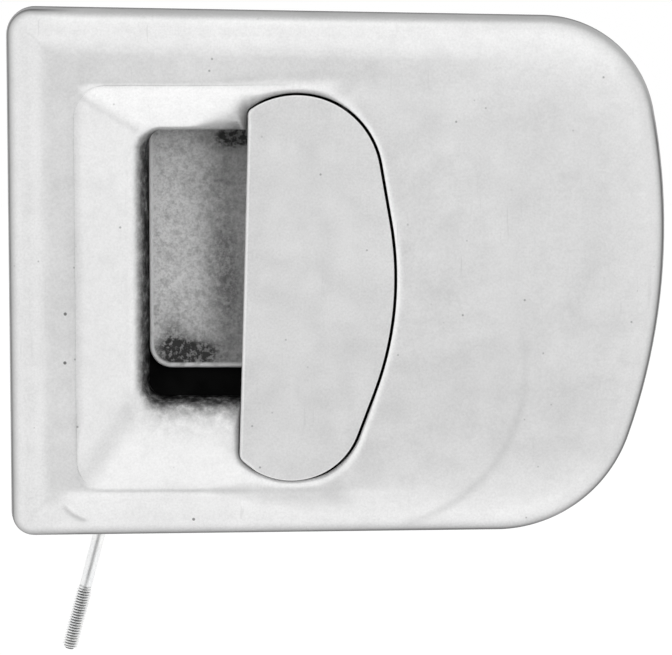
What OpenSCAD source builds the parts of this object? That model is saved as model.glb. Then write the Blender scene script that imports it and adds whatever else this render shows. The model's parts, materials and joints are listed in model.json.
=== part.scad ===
// Flush exterior door handle: a D-shaped plate with a dished finger recess, a half-moon
// pull paddle hinged in it, and a bell crank that turns the pull into a push on a link rod.
// Millimetres. +X is right and +Z is up as seen from outside, the front faces -Y,
// and Y = 0 is the door skin that the gasket lies on.

/* [Plate] */
// width from the straight edge to the tip of the round end
plate_w = 159.4; // [157.4:0.2:166.4]
// height along the straight edge
plate_h = 128.4; // [127.4:0.2:136.4]
// how far the crown of the face stands in front of the rim's back
plate_rise = 10.3; // [9.8:0.1:12]
// thickness of the face
skin = 2.5; // [2.2:0.1:2.8]
// thickness of the rim wall
rim_w = 3.6; // [3:0.1:4.5]
// radius of the upper straight-edge corner
corner_top_r = 7; // [6.4:0.2:9]
// radius of the lower straight-edge corner
corner_bottom_r = 6; // [5.8:0.2:9]
// radius of the upper corner of the round end
end_top_r = 28; // [25:0.5:29]
// radius of the lower corner of the round end
end_bottom_r = 34.6; // [32:0.2:36]
// radius of the bulging flank between those two corners
flank_r = 153; // [140:1:170]
// how far the straight edge leans in towards its foot
edge_lean = 0; // [0:0.1:2]
// how far the bottom edge rises towards the round end
edge_fall = 1.4; // [0:0.1:2]
// how far the top edge falls towards the round end
top_fall = 2.1; // [0:0.1:3]
// width of the bevelled border inside the outline
border_w = 12; // [10:0.5:14]
// how far the outer edge of that border lies below the face
border_drop = 0.5; // [0.3:0.1:0.8]

/* [Gasket] */
// thickness of the rubber gasket
gasket_t = 1.5; // [1:0.1:2]
// width of the gasket
gasket_w = 5; // [4:0.1:5.4]

/* [Dish and recess] */
// left margin between the plate's straight edge and the dish
dish_left_in = 17.1; // [15.7:0.1:18.2]
// margin above the dish
dish_top_in = 19.3; // [18.7:0.1:20.2]
// margin below the dish
dish_bottom_in = 11.2; // [10.8:0.1:12.2]
// depth of the dish where the recess opens
dish_deep = 6.4; // [5.8:0.1:6.8]
// slope width of the dish on its left
slope_left = 15.6; // [14:0.1:17]
// slope width of the dish at its top
slope_top = 9.9; // [9:0.1:11]
// slope width of the dish at its bottom
slope_bottom = 21; // [19:0.1:22]
// thickness of the dish
dish_skin = 2.2; // [2:0.1:2.4]
// depth of the finger bowl behind the dish
bowl_deep = 19.5; // [18:0.1:21]
// wall of the finger bowl
bowl_wall = 2; // [1.6:0.1:2.4]
// how far the raised floor plate stands off the bowl's back wall
floor_rise = 4; // [3:0.1:5]

/* [Paddle] */
// right-hand tip of the half-moon
paddle_tip_x = 14; // [13:0.1:15]
// top of the half-moon
paddle_top_z = 42.7; // [42.3:0.1:44]
// bottom of the half-moon
paddle_bottom_z = -50; // [-50.6:0.1:-49]
// straight edge at its upper end
paddle_edge_x = -21; // [-22:0.1:-20]
// how far the straight edge leans out towards its foot
paddle_lean = 2.3; // [1.5:0.1:3]
// radius of the bulging flank
paddle_flank_r = 78; // [74:0.5:82]
// radius of the upper end
paddle_top_r = 20; // [18.5:0.1:21]
// radius of the lower end
paddle_bottom_r = 17; // [16:0.1:18]
// depth of the paddle's side walls
paddle_deep = 6.4; // [6:0.1:6.8]
// wall and face thickness of the paddle
paddle_wall = 2.2; // [1.8:0.1:2.4]
// gap between the paddle and the plate
paddle_gap = 1.2; // [1.1:0.05:1.4]
// pull angle of the paddle in degrees
pull_angle = 18; // [12:1:18]

/* [Hinge] */
// hinge line, across
hinge_x = 2.2; // [1.6:0.1:2.8]
// hinge line, behind the paddle's face
hinge_deep = 3.7; // [3.5:0.1:3.9]
// radius of the hinge pins
pin_r = 1.5; // [1.3:0.05:1.6]
// wall of the nylon hinge bushes
bush_wall = 0.7; // [0.5:0.05:0.8]

/* [Drive] */
// reach of the drive arm behind the hinge line
arm_reach = 31.5; // [30.5:0.1:33]
// thickness of the drive arm
arm_t = 2.5; // [2:0.1:3]
// height of the crank pivot
crank_z = -13; // [-14:0.1:-12]
// thickness of the bell crank
crank_t = 2.5; // [2:0.1:3]
// length of the crank's output arm
crank_out = 44.3; // [42:0.1:46]
// radius of the crank pivot
pivot_r = 2.5; // [2.2:0.1:2.8]
// radius of the nylon shoe on the crank
shoe_r = 3.4; // [3.2:0.1:3.8]

/* [Link rod] */
// radius of the rod
rod_r = 1.6; // [1.5:0.05:1.8]
// radius over the rod's thread
thread_r = 2; // [1.9:0.05:2.5]
// length of the thread
thread_l = 17; // [14:0.5:20]
// length from the crank eye to the rod's end
rod_l = 92.8; // [86:0.2:98]
// lean of the rod from the vertical in degrees
rod_lean = 15; // [10:0.5:20]

/* [Fixings] */
// distance between the two tapped fixing bosses
bolt_span = 112; // [108:0.5:114]
// height of the fixing bosses
bolt_z = 11; // [7:0.5:13]
// radius of the tapped holes (M6)
bolt_r = 2.5; // [2.1:0.05:2.6]
// how far the fixing bosses stand inside the door
bolt_stand = 8; // [5:0.5:10]

/* [Hidden] */

$fn = 48;
arc_step = 6;
eps = 0.02;
run_gap = 0.05;
seat_gap = 0.02;
play = 0.1;
screw_r = 1.25;
screw_hole_r = 1.3;
screw_head_r = 2.8;
screw_head_h = 1.8;
screw_boss_r = 3.4;
screw_bite = 3.6;
screw_slip = 0.2;
sharp_r = 0.3;

// depths along Y
rim_y = -gasket_t;
face_y = rim_y - plate_rise;
dish_y = face_y + border_drop + dish_deep;
flange_y = dish_y + dish_skin;
flange_t = 2;
bowl_in_y = flange_y + bowl_deep;
bowl_out_y = bowl_in_y + bowl_wall;
floor_y = bowl_in_y - floor_rise;
paddle_under = 0.2;
paddle_y = face_y + paddle_under;
paddle_back_y = paddle_y + paddle_deep;
hinge_y = paddle_y + hinge_deep;

// the plate's outline: circles as [x, z, radius, inward x, inward z], anticlockwise
end_top_in = 30.3;
end_bottom_in = 40.8;
plate_left = -plate_w / 2;
plate_top = plate_h / 2;
top_end = [plate_w / 2 - end_top_in, plate_top - top_fall - end_top_r, end_top_r, -1, -1];
bottom_end = [plate_w / 2 - end_bottom_in, edge_fall + end_bottom_r - plate_top, end_bottom_r, -1, 1];
top_corner = [plate_left + corner_top_r, plate_top - corner_top_r, corner_top_r, 1, -1];
bottom_corner = [plate_left + edge_lean + corner_bottom_r, corner_bottom_r - plate_top,
  corner_bottom_r, 1, 1];
plate_rounds = [bottom_end, flank(bottom_end, top_end, flank_r), top_end, top_corner, bottom_corner];

// the face's section: [depth below the crown, distance inside the outline]
rim_draft = 0.9;
edge_deep = 3.4;
pillow = [[plate_rise, 0], [edge_deep + 1.6, rim_draft], [edge_deep, rim_draft * 2],
  [edge_deep * 0.6, rim_draft * 4], [border_drop, border_w], [border_drop * 0.25, border_w * 2.2],
  [0, border_w * 3.2]];

// the dish and the recess opening
dish_x0 = plate_left + dish_left_in;
dish_over = 15;
dish_x1 = paddle_edge_x + dish_over;
dish_z0 = dish_bottom_in - plate_top;
dish_z1 = plate_top - dish_top_in;
dish_r = 8;
hole_x0 = dish_x0 + slope_left;
hole_over = 11;
hole_x1 = paddle_edge_x + hole_over;
hole_z0 = dish_z0 + slope_bottom;
hole_z1 = dish_z1 - slope_top;
hole_r = 3.5;
hole_lip = 2;

// the paddle's outline
paddle_top_x = -9.3;
paddle_bottom_x = -10.8;
paddle_flank_z = -1.2;
paddle_top_c = [paddle_top_x, paddle_top_z - paddle_top_r, paddle_top_r];
paddle_bottom_c = [paddle_bottom_x, paddle_bottom_z + paddle_bottom_r, paddle_bottom_r];
paddle_flank_c = [paddle_tip_x - paddle_flank_r, paddle_flank_z, paddle_flank_r];
nose_top_r = 1.5;
nose_bottom_r = 2.5;
paddle_round = 0.9;
paddle_screw_skin = 1.8;

// the finger bowl
bowl_left = 3;
bowl_tall = 4;
bowl_right_x = -7;
bowl_in = [hole_x0 - bowl_left, bowl_right_x, hole_z0 - bowl_tall, hole_z1 + bowl_tall];
bowl_r = 5;
lobe_x1 = 8;
lobe_down = 12;
lobe_up = 13;
lobe_r = 4;
lobe = [bowl_right_x, lobe_x1, crank_z - lobe_down, crank_z + lobe_up];
web_down = 9;
web_t = 2;
web_run = 9;
rib_h = 3;
rib_w = 8;
rib_r = 0.4;
shield_y = 1;
shield_t = 1.6;
slot_gap = 1.5;
slot_r = 1;
shield_out = 3;
shield = [paddle_edge_x, paddle_tip_x + paddle_gap + shield_out, paddle_bottom_z - paddle_gap - shield_out,
  paddle_top_z + paddle_gap + shield_out];
ear_x = -26;
ear_top_z = dish_z1 + 2.6;
ear_bottom_z = dish_z0 + 1;
ear_left_x = hole_x0 - 10;
ear_high_z = 28;
ear_low_z = -31;
bowl_screw_at = [[ear_left_x, ear_high_z], [ear_left_x, ear_low_z], [ear_x, ear_top_z],
  [ear_x, ear_bottom_z]];
ear_r = 3.8;
stop_x = -16;
stop_w = 6;
stop_h = 3;
stop_in = 0.2;
stop_arm = 4;
stop_r = 2;
pad_r = 0.5;
stop_top_z = arc_z(paddle_top_c, stop_x, 1);
stop_bottom_z = arc_z(paddle_bottom_c, stop_x, -1);

// the floor plate
floor_left = 1.1;
floor_right = 2;
floor_up = 11;
floor_down = 0.5;
floor_box = [hole_x0 + floor_left, bowl_right_x - floor_right, bowl_in[2] + floor_up,
  bowl_in[3] - floor_down];
floor_t = 1.5;
floor_r = 5.5;
floor_screw_x = -28;
floor_screw_at = [[floor_screw_x, 23], [floor_screw_x, -13]];

// hinge
hinge_bush_r = pin_r + run_gap + bush_wall;
hinge_boss_r = 3.2;
boss_under = 0.2;
pin_hold = 10;
pin_run = 5;
pin_clear = 0.6;
pin_short = 0.3;
pin_top_z = arc_z(grown(paddle_top_c, paddle_gap), hinge_x - hinge_bush_r, 1) + pin_clear;
pin_bottom_z = arc_z(grown(paddle_bottom_c, paddle_gap), hinge_x - hinge_bush_r, -1) - pin_clear;

// drive arm and crank
arm_off = 2.5;
arm_x = hinge_x + arm_off;
arm_w = 13;
arm_tip_y = hinge_y + arm_reach;
arm_z = crank_z + arm_reach;
foot_x = -3.5;
foot_screw_x = 0.3;
foot_screw_z = 4.5;
foot_screw_at = [[foot_screw_x, arm_z - foot_screw_z], [foot_screw_x, arm_z + foot_screw_z]];
shoe_x = arm_x - shoe_r - play;
crank_x = shoe_x - arm_off;
arm_clear = 0.6;
crank_y = arm_tip_y + arm_clear;
crank_back_y = crank_y + crank_t;
crank_hub_r = 7.5;
shoe_tip_r = shoe_r - 0.5;
crank_bush_wall = 1.3;
crank_bush_r = pivot_r + run_gap + crank_bush_wall;
pivot_boss_r = 4.2;
pivot_boss_in = 0.5;
pivot_boss_y = crank_y - pivot_boss_in;
pivot_head_r = pivot_r + 1.6;
pivot_head_h = 1.6;
groove_deep = 0.5;
thrust = 0.4;
// where the drive arm's left face is at the bowl's back edge when the paddle is fully pulled
arm_stop_gap = 0.3;
arm_stop_x = hinge_x + (arm_off - (bowl_out_y - hinge_y) * sin(pull_angle)) / cos(pull_angle) - arm_stop_gap;
washer_t = 0.8;
clip_t = 0.7;
clip_w = 1.7;
washer_w = 1.4;
washer_y = crank_back_y + thrust + play;
clip_y = washer_y + washer_t;
pivot_end_y = clip_y + clip_t + 1;
shoe_l = 3;
shoe_front_y = arm_tip_y - shoe_l;
rivet_head_h = 0.8;
rivet_head_r = pin_r + 1;
eye_rise = 2;
eye_x = crank_x - crank_out;
eye_z = crank_z + eye_rise;
eye_r = 5.4;
sleeve_wall = 1.2;
eye_hole_r = rod_r + seat_gap + sleeve_wall;

// return spring
spring_r = 5.6;
wire_r = 0.6;
spring_turns = 2.25;
wire_off = 0.3;
coil_n = 54;
wire_n = 8;
spring_y0 = bowl_out_y + wire_r + wire_off;
spring_y1 = crank_y - wire_r - wire_off - pivot_boss_in;
peg_r = 1.2;
peg_in = spring_r - wire_r - peg_r - seat_gap;
bowl_peg_z = 10;
crank_peg_x = 16;
leg_l = 19;
leg_over = 3;
peg_over = 1.4;

// link rod
bend_r = 3.6;
rod_off = 6.3;
rod_y = crank_back_y + rod_off;
clip_back_y = crank_back_y + thrust;
strap_t = 1.4;
strap_w = 1.4;
strap_r = 2;
jaw_near = 8;
jaw_far = 14;
jaw_wall = 1.6;
jaw_r = 0.6;
sleeve_rim_t = 1.2;
sleeve_rim_w = 1.6;
rod_past = 2;

// fixing bosses
bolt_x = -8;
bolt_boss_r = 5.5;
bolt_deep = 12;
boss_into_skin = 1.2;
boss_y = face_y + border_drop + boss_into_skin;
bolt_at = [bolt_x - bolt_span / 2, bolt_x + bolt_span / 2];
screw_hole_deep = 4;

function grown(c, d) = [c[0], c[1], c[2] + d];
function arc_z(c, x, s) = c[1] + s * sqrt(c[2] * c[2] - (x - c[0]) * (x - c[0]));
// a small circle inside the end circle c that touches it and the line at x
function nose(c, x, r, s) = [x + r, arc_z(grown(c, -r), x + r, s), r];
// the big circle of radius r that both end circles touch from inside, on their right
function flank(a, b, r) =
  let (v = [b[0] - a[0], b[1] - a[1]], l = norm(v), p = r - a[2], q = r - b[2],
    along = (p * p - q * q + l * l) / (2 * l), off = sqrt(p * p - along * along))
  [a[0] + v[0] / l * along - v[1] / l * off, a[1] + v[1] / l * along + v[0] / l * off, r, 0, 0];
// the direction that the belt's straight run from circle a to circle b faces
function facing(a, b) =
  let (v = [b[0] - a[0], b[1] - a[1]])
  atan2(v[1], v[0]) - acos(max(-1, min(1, (a[2] - b[2]) / norm(v))));
function turn(a) = let (t = ((a % 360) + 360) % 360) t > 359 ? 0 : t;
// a circle moved in by d, which becomes a sharp corner once its radius is used up
function moved_in(c, d) =
  let (r = max(sharp_r, c[2] - d), rest = max(0, d - (c[2] - r)))
  [c[0] + rest * c[3], c[1] + rest * c[4], r];
function inset_plate(d) = [for (c = plate_rounds) moved_in(c, d)];
function inset_paddle(d) = [grown(paddle_bottom_c, -d), grown(paddle_flank_c, -d), grown(paddle_top_c, -d),
  nose(grown(paddle_top_c, -d), paddle_edge_x + d, max(sharp_r, nose_top_r - d), 1),
  nose(grown(paddle_bottom_c, -d), paddle_edge_x - paddle_lean + d, max(sharp_r, nose_bottom_r - d), -1)];
// a belt pulled tight round circles, as points
function belt(c) = [
  for (i = [0 : len(c) - 1])
    let (before = c[(i + len(c) - 1) % len(c)], here = c[i], after = c[(i + 1) % len(c)],
      start = facing(before, here), sweep = turn(facing(here, after) - start),
      n = max(1, ceil(sweep / arc_step)))
    for (k = [0 : n])
      let (t = start + sweep * k / n)
      [here[0] + here[2] * cos(t), here[1] + here[2] * sin(t)]
];
// a rounded rectangle [x0, x1, z0, z1] grown by g
function panel(b, r, g = 0) = belt([[b[1] - r, b[2] + r, r + g], [b[1] - r, b[3] - r, r + g],
  [b[0] + r, b[3] - r, r + g], [b[0] + r, b[2] + r, r + g]]);

// a flat piece seen from the front, between two depths
module prism(y_front, y_back, points) {
  translate([0, y_back, 0])
    rotate([90, 0, 0])
      linear_extrude(y_back - y_front)
        polygon(points);
}

// a round bar along Y
module bar_y(x, z, y_front, y_back, r) {
  translate([x, y_back, z])
    rotate([90, 0, 0])
      cylinder(h = y_back - y_front, r = r);
}

// a round bar along the hinge line
module bar_z(x, y, z0, z1, r) {
  translate([x, y, z0])
    cylinder(h = z1 - z0, r = r);
}

module screw(x, z, y_seat, l) {
  bar_y(x, z, y_seat, y_seat + screw_head_h, screw_head_r);
  bar_y(x, z, y_seat - l, y_seat + eps, screw_r);
}

module pillow_solid(drop, inner) {
  hull()
    for (s = pillow)
      prism(face_y + s[0] + drop - eps, face_y + s[0] + drop, belt(inset_plate(s[1] + inner)));
}

module dish_solid(g) {
  hull() {
    prism(face_y - 2, face_y + border_drop + g, panel([dish_x0, dish_x1, dish_z0, dish_z1], dish_r, g));
    prism(dish_y + g - eps, dish_y + g, panel([hole_x0 - hole_lip, hole_x1, hole_z0 - hole_lip * 2,
      hole_z1 + hole_lip], dish_r, g));
  }
}

module aperture(y_back) {
  prism(face_y - 2, y_back, panel([hole_x0, hole_x1, hole_z0, hole_z1], hole_r));
  prism(face_y - 2, y_back, belt(inset_paddle(-paddle_gap)));
}

module outer_plate() {
  color("gainsboro")
    difference() {
      union() {
        difference() {
          pillow_solid(0, 0);
          difference() {
            pillow_solid(skin, rim_w);
            dish_solid(dish_skin);
          }
        }
        for (x = bolt_at)
          bar_y(x, bolt_z, boss_y, bolt_stand, bolt_boss_r);
        for (p = bowl_screw_at)
          bar_y(p[0], p[1], boss_y, flange_y, screw_boss_r);
        intersection() {
          pillow_solid(boss_under, boss_under);
          union() {
            bar_z(hinge_x, hinge_y, pin_top_z - pin_run, pin_top_z + pin_run + 1, hinge_boss_r);
            bar_z(hinge_x, hinge_y, pin_bottom_z - pin_run - 1, pin_bottom_z + pin_run, hinge_boss_r);
          }
        }
      }
      dish_solid(0);
      aperture(flange_y + 1);
      for (x = bolt_at)
        bar_y(x, bolt_z, bolt_stand - bolt_deep, bolt_stand + 1, bolt_r);
      for (p = bowl_screw_at)
        bar_y(p[0], p[1], flange_y - screw_hole_deep, flange_y + 1, screw_hole_r);
      bar_z(hinge_x, hinge_y, pin_top_z - pin_run - 1, pin_top_z + pin_run, hinge_bush_r + seat_gap);
      bar_z(hinge_x, hinge_y, pin_bottom_z - pin_run, pin_bottom_z + pin_run + 1, hinge_bush_r + seat_gap);
    }
}

module gasket() {
  color("dimgray")
    difference() {
      prism(rim_y, 0, belt(inset_plate(0)));
      prism(rim_y - 1, 1, belt(inset_plate(gasket_w)));
    }
}

module recess_bowl() {
  color("darkslategray")
    difference() {
      union() {
        prism(flange_y, bowl_out_y, panel(bowl_in, bowl_r, bowl_wall));
        prism(flange_y, flange_y + flange_t, panel([bowl_in[0], bowl_right_x - bowl_tall, bowl_in[2],
          bowl_in[3]], bowl_r, bowl_wall + flange_t));
        for (p = bowl_screw_at)
          prism(flange_y, flange_y + flange_t, belt([[p[0], p[1], ear_r],
            [max(p[0], bowl_in[0] + bowl_wall), min(max(p[1], bowl_in[2] + bowl_wall),
              bowl_in[3] - bowl_wall), ear_r]]));
        prism(flange_y, flange_y + flange_t, panel([ear_x, stop_x + stop_arm, hole_z1,
          stop_top_z], stop_r));
        prism(flange_y, flange_y + flange_t, panel([ear_x, stop_x + stop_arm, stop_bottom_z,
          hole_z0], stop_r));
        prism(shield_y, shield_y + shield_t, panel(shield, bowl_r));
        prism(bowl_in_y, bowl_out_y, panel(lobe, lobe_r));
        bar_y(crank_x, crank_z, bowl_out_y - eps, pivot_boss_y, pivot_boss_r);
        bar_y(crank_x + peg_in, crank_z + bowl_peg_z, bowl_out_y - eps, spring_y0 + peg_over, peg_r);
        translate([0, 0, crank_z - web_down])
          linear_extrude(web_t)
            polygon([[bowl_right_x + 1, bowl_in_y - web_run], [lobe_x1 - web_t, bowl_in_y + eps],
              [bowl_right_x + 1, bowl_in_y + eps]]);
        prism(bowl_out_y - rib_h, bowl_out_y, panel([bowl_right_x, arm_stop_x, arm_z - rib_w / 2,
          arm_z + rib_w / 2], rib_r));
      }
      prism(flange_y - 1, bowl_in_y, panel(bowl_in, bowl_r));
      prism(shield_y - 1, shield_y + shield_t + 1, panel([bowl_right_x + bowl_wall + slot_gap,
        arm_x + arm_t + slot_gap, arm_z - arm_w / 2 - slot_r, arm_z + arm_w / 2 + slot_r], slot_r));
      for (p = bowl_screw_at)
        bar_y(p[0], p[1], flange_y - 1, flange_y + flange_t + 1, screw_r + screw_slip);
      for (p = floor_screw_at)
        bar_y(p[0], p[1], bowl_in_y - 1, bowl_out_y + 1, screw_r + screw_slip);
      bar_y(crank_x, crank_z, bowl_in_y - 1, pivot_boss_y + 1, pivot_r + seat_gap);
      bar_y(crank_x, crank_z, bowl_in_y - pivot_head_h - play, bowl_in_y, pivot_head_r + play);
    }
}

module recess_floor_plate() {
  color("silver")
    difference() {
      union() {
        difference() {
          prism(floor_y, bowl_in_y, panel(floor_box, floor_r));
          prism(floor_y + floor_t, bowl_in_y + 1, panel(floor_box, floor_r, -floor_t));
        }
        for (p = floor_screw_at)
          bar_y(p[0], p[1], floor_y + floor_t - eps, bowl_in_y, screw_boss_r);
      }
      for (p = floor_screw_at)
        bar_y(p[0], p[1], floor_y + floor_t, bowl_in_y + 1, screw_hole_r);
    }
}

module floor_plate_screws() {
  color("silver")
    for (p = floor_screw_at)
      screw(p[0], p[1], bowl_out_y, bowl_wall + floor_rise - floor_t - thrust);
}

module bowl_screws() {
  color("silver")
    for (p = bowl_screw_at)
      screw(p[0], p[1], flange_y + flange_t, flange_t + screw_bite);
}

module pull_paddle() {
  color("lightgray")
    difference() {
      union() {
        difference() {
          hull() {
            prism(paddle_y + paddle_round, paddle_back_y, belt(inset_paddle(0)));
            prism(paddle_y + paddle_round / 3, paddle_back_y, belt(inset_paddle(paddle_round / 3)));
            prism(paddle_y, paddle_back_y, belt(inset_paddle(paddle_round)));
          }
          prism(paddle_y + paddle_wall, paddle_back_y + 1, belt(inset_paddle(paddle_wall)));
        }
        intersection() {
          prism(paddle_y + paddle_wall / 2, paddle_back_y, belt(inset_paddle(paddle_wall / 2)));
          union() {
            bar_z(hinge_x, hinge_y, pin_top_z - pin_hold, pin_top_z, hinge_boss_r);
            bar_z(hinge_x, hinge_y, pin_bottom_z, pin_bottom_z + pin_hold, hinge_boss_r);
          }
        }
        for (p = foot_screw_at)
          bar_y(p[0], p[1], paddle_y + paddle_wall / 2, paddle_back_y, screw_boss_r);
      }
      bar_z(hinge_x, hinge_y, pin_top_z - pin_hold - 1, pin_top_z + 1, pin_r + seat_gap);
      bar_z(hinge_x, hinge_y, pin_bottom_z - 1, pin_bottom_z + pin_hold + 1, pin_r + seat_gap);
      for (p = foot_screw_at)
        bar_y(p[0], p[1], paddle_y + paddle_screw_skin, paddle_back_y + 1, screw_hole_r);
    }
}

module paddle_pins() {
  color("silver") {
    bar_z(hinge_x, hinge_y, pin_top_z - pin_hold, pin_top_z + pin_run - pin_short, pin_r);
    bar_z(hinge_x, hinge_y, pin_bottom_z - pin_run + pin_short, pin_bottom_z + pin_hold, pin_r);
  }
}

module bush(z) {
  difference() {
    bar_z(hinge_x, hinge_y, z, z + pin_run, hinge_bush_r);
    bar_z(hinge_x, hinge_y, z - 1, z + pin_run + 1, pin_r + run_gap);
  }
}

module paddle_bushes() {
  color("ivory") {
    bush(pin_top_z);
    bush(pin_bottom_z - pin_run);
  }
}

module paddle_stop_pads() {
  color("black") {
    prism(paddle_back_y, flange_y, panel([stop_x - stop_w / 2, stop_x + stop_w / 2,
      stop_top_z - stop_in - stop_h, stop_top_z - stop_in], pad_r));
    prism(paddle_back_y, flange_y, panel([stop_x - stop_w / 2, stop_x + stop_w / 2,
      stop_bottom_z + stop_in, stop_bottom_z + stop_in + stop_h], pad_r));
  }
}

module drive_arm() {
  color("darkgray")
    difference() {
      translate([0, 0, arm_z - arm_w / 2])
        linear_extrude(arm_w)
          polygon([[foot_x, paddle_back_y], [arm_x + arm_t, paddle_back_y], [arm_x + arm_t, arm_tip_y],
            [arm_x, arm_tip_y], [arm_x, paddle_back_y + arm_t], [foot_x, paddle_back_y + arm_t]]);
      for (p = foot_screw_at)
        bar_y(p[0], p[1], paddle_back_y - 1, paddle_back_y + arm_t + 1, screw_r + screw_slip);
    }
}

module drive_arm_screws() {
  color("silver")
    for (p = foot_screw_at)
      screw(p[0], p[1], paddle_back_y + arm_t, arm_t + screw_bite);
}

module bell_crank() {
  color("darkgray")
    difference() {
      union() {
        prism(crank_y, crank_back_y, belt([[crank_x, crank_z, crank_hub_r], [eye_x, eye_z, eye_r]]));
        prism(crank_y, crank_back_y, belt([[crank_x, crank_z, crank_hub_r],
          [shoe_x, arm_z, shoe_tip_r]]));
        bar_y(crank_x - crank_peg_x, crank_z - peg_in, spring_y1 - peg_over, crank_y + eps, peg_r);
      }
      bar_y(crank_x, crank_z, crank_y - 1, crank_back_y + 1, crank_bush_r + seat_gap);
      bar_y(eye_x, eye_z, crank_y - 1, crank_back_y + 1, eye_hole_r + run_gap);
      bar_y(shoe_x, arm_z, crank_y - 1, crank_back_y + 1, pin_r + seat_gap);
    }
}

module crank_pivot() {
  color("silver")
    difference() {
      union() {
        bar_y(crank_x, crank_z, bowl_in_y - pivot_head_h, bowl_in_y, pivot_head_r);
        bar_y(crank_x, crank_z, bowl_in_y - eps, pivot_end_y, pivot_r);
      }
      difference() {
        bar_y(crank_x, crank_z, clip_y, clip_y + clip_t + play, pivot_r + 1);
        bar_y(crank_x, crank_z, clip_y - 1, clip_y + clip_t + 1, pivot_r - groove_deep);
      }
    }
}

module crank_bush() {
  color("ivory")
    difference() {
      bar_y(crank_x, crank_z, crank_y - thrust, crank_back_y + thrust, crank_bush_r);
      bar_y(crank_x, crank_z, crank_y - 1, crank_back_y + 1, pivot_r + run_gap);
    }
}

module crank_shoe() {
  color("ivory")
    difference() {
      bar_y(shoe_x, arm_z, shoe_front_y, crank_y, shoe_r);
      bar_y(shoe_x, arm_z, shoe_front_y - 1, crank_y + 1, pin_r + seat_gap);
    }
}

module shoe_rivet() {
  color("silver") {
    bar_y(shoe_x, arm_z, shoe_front_y - rivet_head_h, shoe_front_y, rivet_head_r);
    bar_y(shoe_x, arm_z, shoe_front_y - eps, crank_back_y + eps, pin_r);
    bar_y(shoe_x, arm_z, crank_back_y, crank_back_y + rivet_head_h, rivet_head_r);
  }
}

// the return spring: a wire swept along its leg on the bowl, its coil, and its leg on the crank
coil = [
  for (i = [0 : coil_n])
    let (t = -360 * spring_turns * i / coil_n, y = spring_y0 + (spring_y1 - spring_y0) * i / coil_n)
    [crank_x + spring_r * cos(t), y, crank_z + spring_r * sin(t)]
];
wire = concat([coil[0] + [0, 0, bowl_peg_z + leg_over]], coil, [coil[coil_n] - [leg_l, 0, 0]]);
function heading(i) =
  let (a = wire[max(0, i - 1)], b = wire[min(len(wire) - 1, i + 1)])
  (b - a) / norm(b - a);
function ring(i) =
  let (h = heading(i), u = cross(h, [0, 1, 0]) / norm(cross(h, [0, 1, 0])), v = cross(h, u))
  [for (k = [0 : wire_n - 1]) wire[i] + wire_r * (cos(360 * k / wire_n) * u + sin(360 * k / wire_n) * v)];

module crank_spring() {
  last = (len(wire) - 1) * wire_n;
  color("gray")
    polyhedron(
      points = [for (i = [0 : len(wire) - 1]) each ring(i)],
      faces = concat(
        [[for (k = [0 : wire_n - 1]) k]],
        [for (i = [0 : len(wire) - 2], k = [0 : wire_n - 1])
          [i * wire_n + k, (i + 1) * wire_n + k, (i + 1) * wire_n + (k + 1) % wire_n,
            i * wire_n + (k + 1) % wire_n]],
        [[for (k = [wire_n - 1 : -1 : 0]) last + k]]));
}

module crank_washer() {
  color("silver")
    difference() {
      bar_y(crank_x, crank_z, washer_y, washer_y + washer_t, crank_bush_r + washer_w);
      bar_y(crank_x, crank_z, washer_y - 1, washer_y + washer_t + 1, pivot_r + play);
    }
}

module crank_circlip() {
  color("dimgray")
    difference() {
      bar_y(crank_x, crank_z, clip_y + play / 2, clip_y + play / 2 + clip_t, pivot_r + clip_w);
      bar_y(crank_x, crank_z, clip_y - 1, clip_y + clip_t + 1, pivot_r - groove_deep + seat_gap);
      prism(clip_y - 1, clip_y + clip_t + 1, panel([crank_x - washer_w, crank_x + washer_w,
        crank_z - pivot_r - clip_w * 2, crank_z], sharp_r));
    }
}

// the rod's own frame: the eye is its origin and the rod runs down from it
module on_rod() {
  translate([eye_x, 0, eye_z])
    rotate([0, rod_lean, 0])
      children();
}

module rod_clip() {
  color("white")
    on_rod()
      difference() {
        union() {
          bar_y(0, 0, crank_y - thrust - sleeve_rim_t, crank_y - thrust, eye_hole_r + sleeve_rim_w);
          bar_y(0, 0, crank_y - thrust - eps, clip_back_y + eps, eye_hole_r);
          prism(clip_back_y, clip_back_y + strap_t, panel([-eye_hole_r - strap_w, eye_hole_r + strap_w,
            -jaw_far, eye_hole_r + strap_w], strap_r));
          prism(clip_back_y + strap_t - eps, rod_y + rod_r * 0.6, panel([-rod_r - jaw_wall, rod_r + jaw_wall,
            -jaw_far, -jaw_near], jaw_r));
        }
        bar_y(0, 0, crank_y - thrust - sleeve_rim_t - 1, clip_back_y + strap_t + 1, rod_r + seat_gap);
        bar_z(0, rod_y, -jaw_far - 1, -jaw_near + 1, rod_r + seat_gap);
      }
}

module link_rod() {
  color("silver")
    on_rod() {
      bar_y(0, 0, crank_y - thrust - rod_past, rod_y - bend_r, rod_r);
      translate([0, rod_y - bend_r, -bend_r])
        rotate([0, -90, 0])
          rotate_extrude(angle = 90)
            translate([bend_r, 0])
              circle(r = rod_r);
      bar_z(0, rod_y, thread_l - rod_l, -bend_r, rod_r);
      bar_z(0, rod_y, -rod_l, thread_l - rod_l, thread_r);
    }
}

outer_plate();
gasket();
recess_bowl();
recess_floor_plate();
floor_plate_screws();
bowl_screws();
pull_paddle();
paddle_pins();
paddle_bushes();
paddle_stop_pads();
drive_arm();
drive_arm_screws();
bell_crank();
crank_pivot();
crank_bush();
crank_shoe();
shoe_rivet();
crank_spring();
crank_washer();
crank_circlip();
rod_clip();
link_rod();
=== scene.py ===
import json
import math

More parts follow.
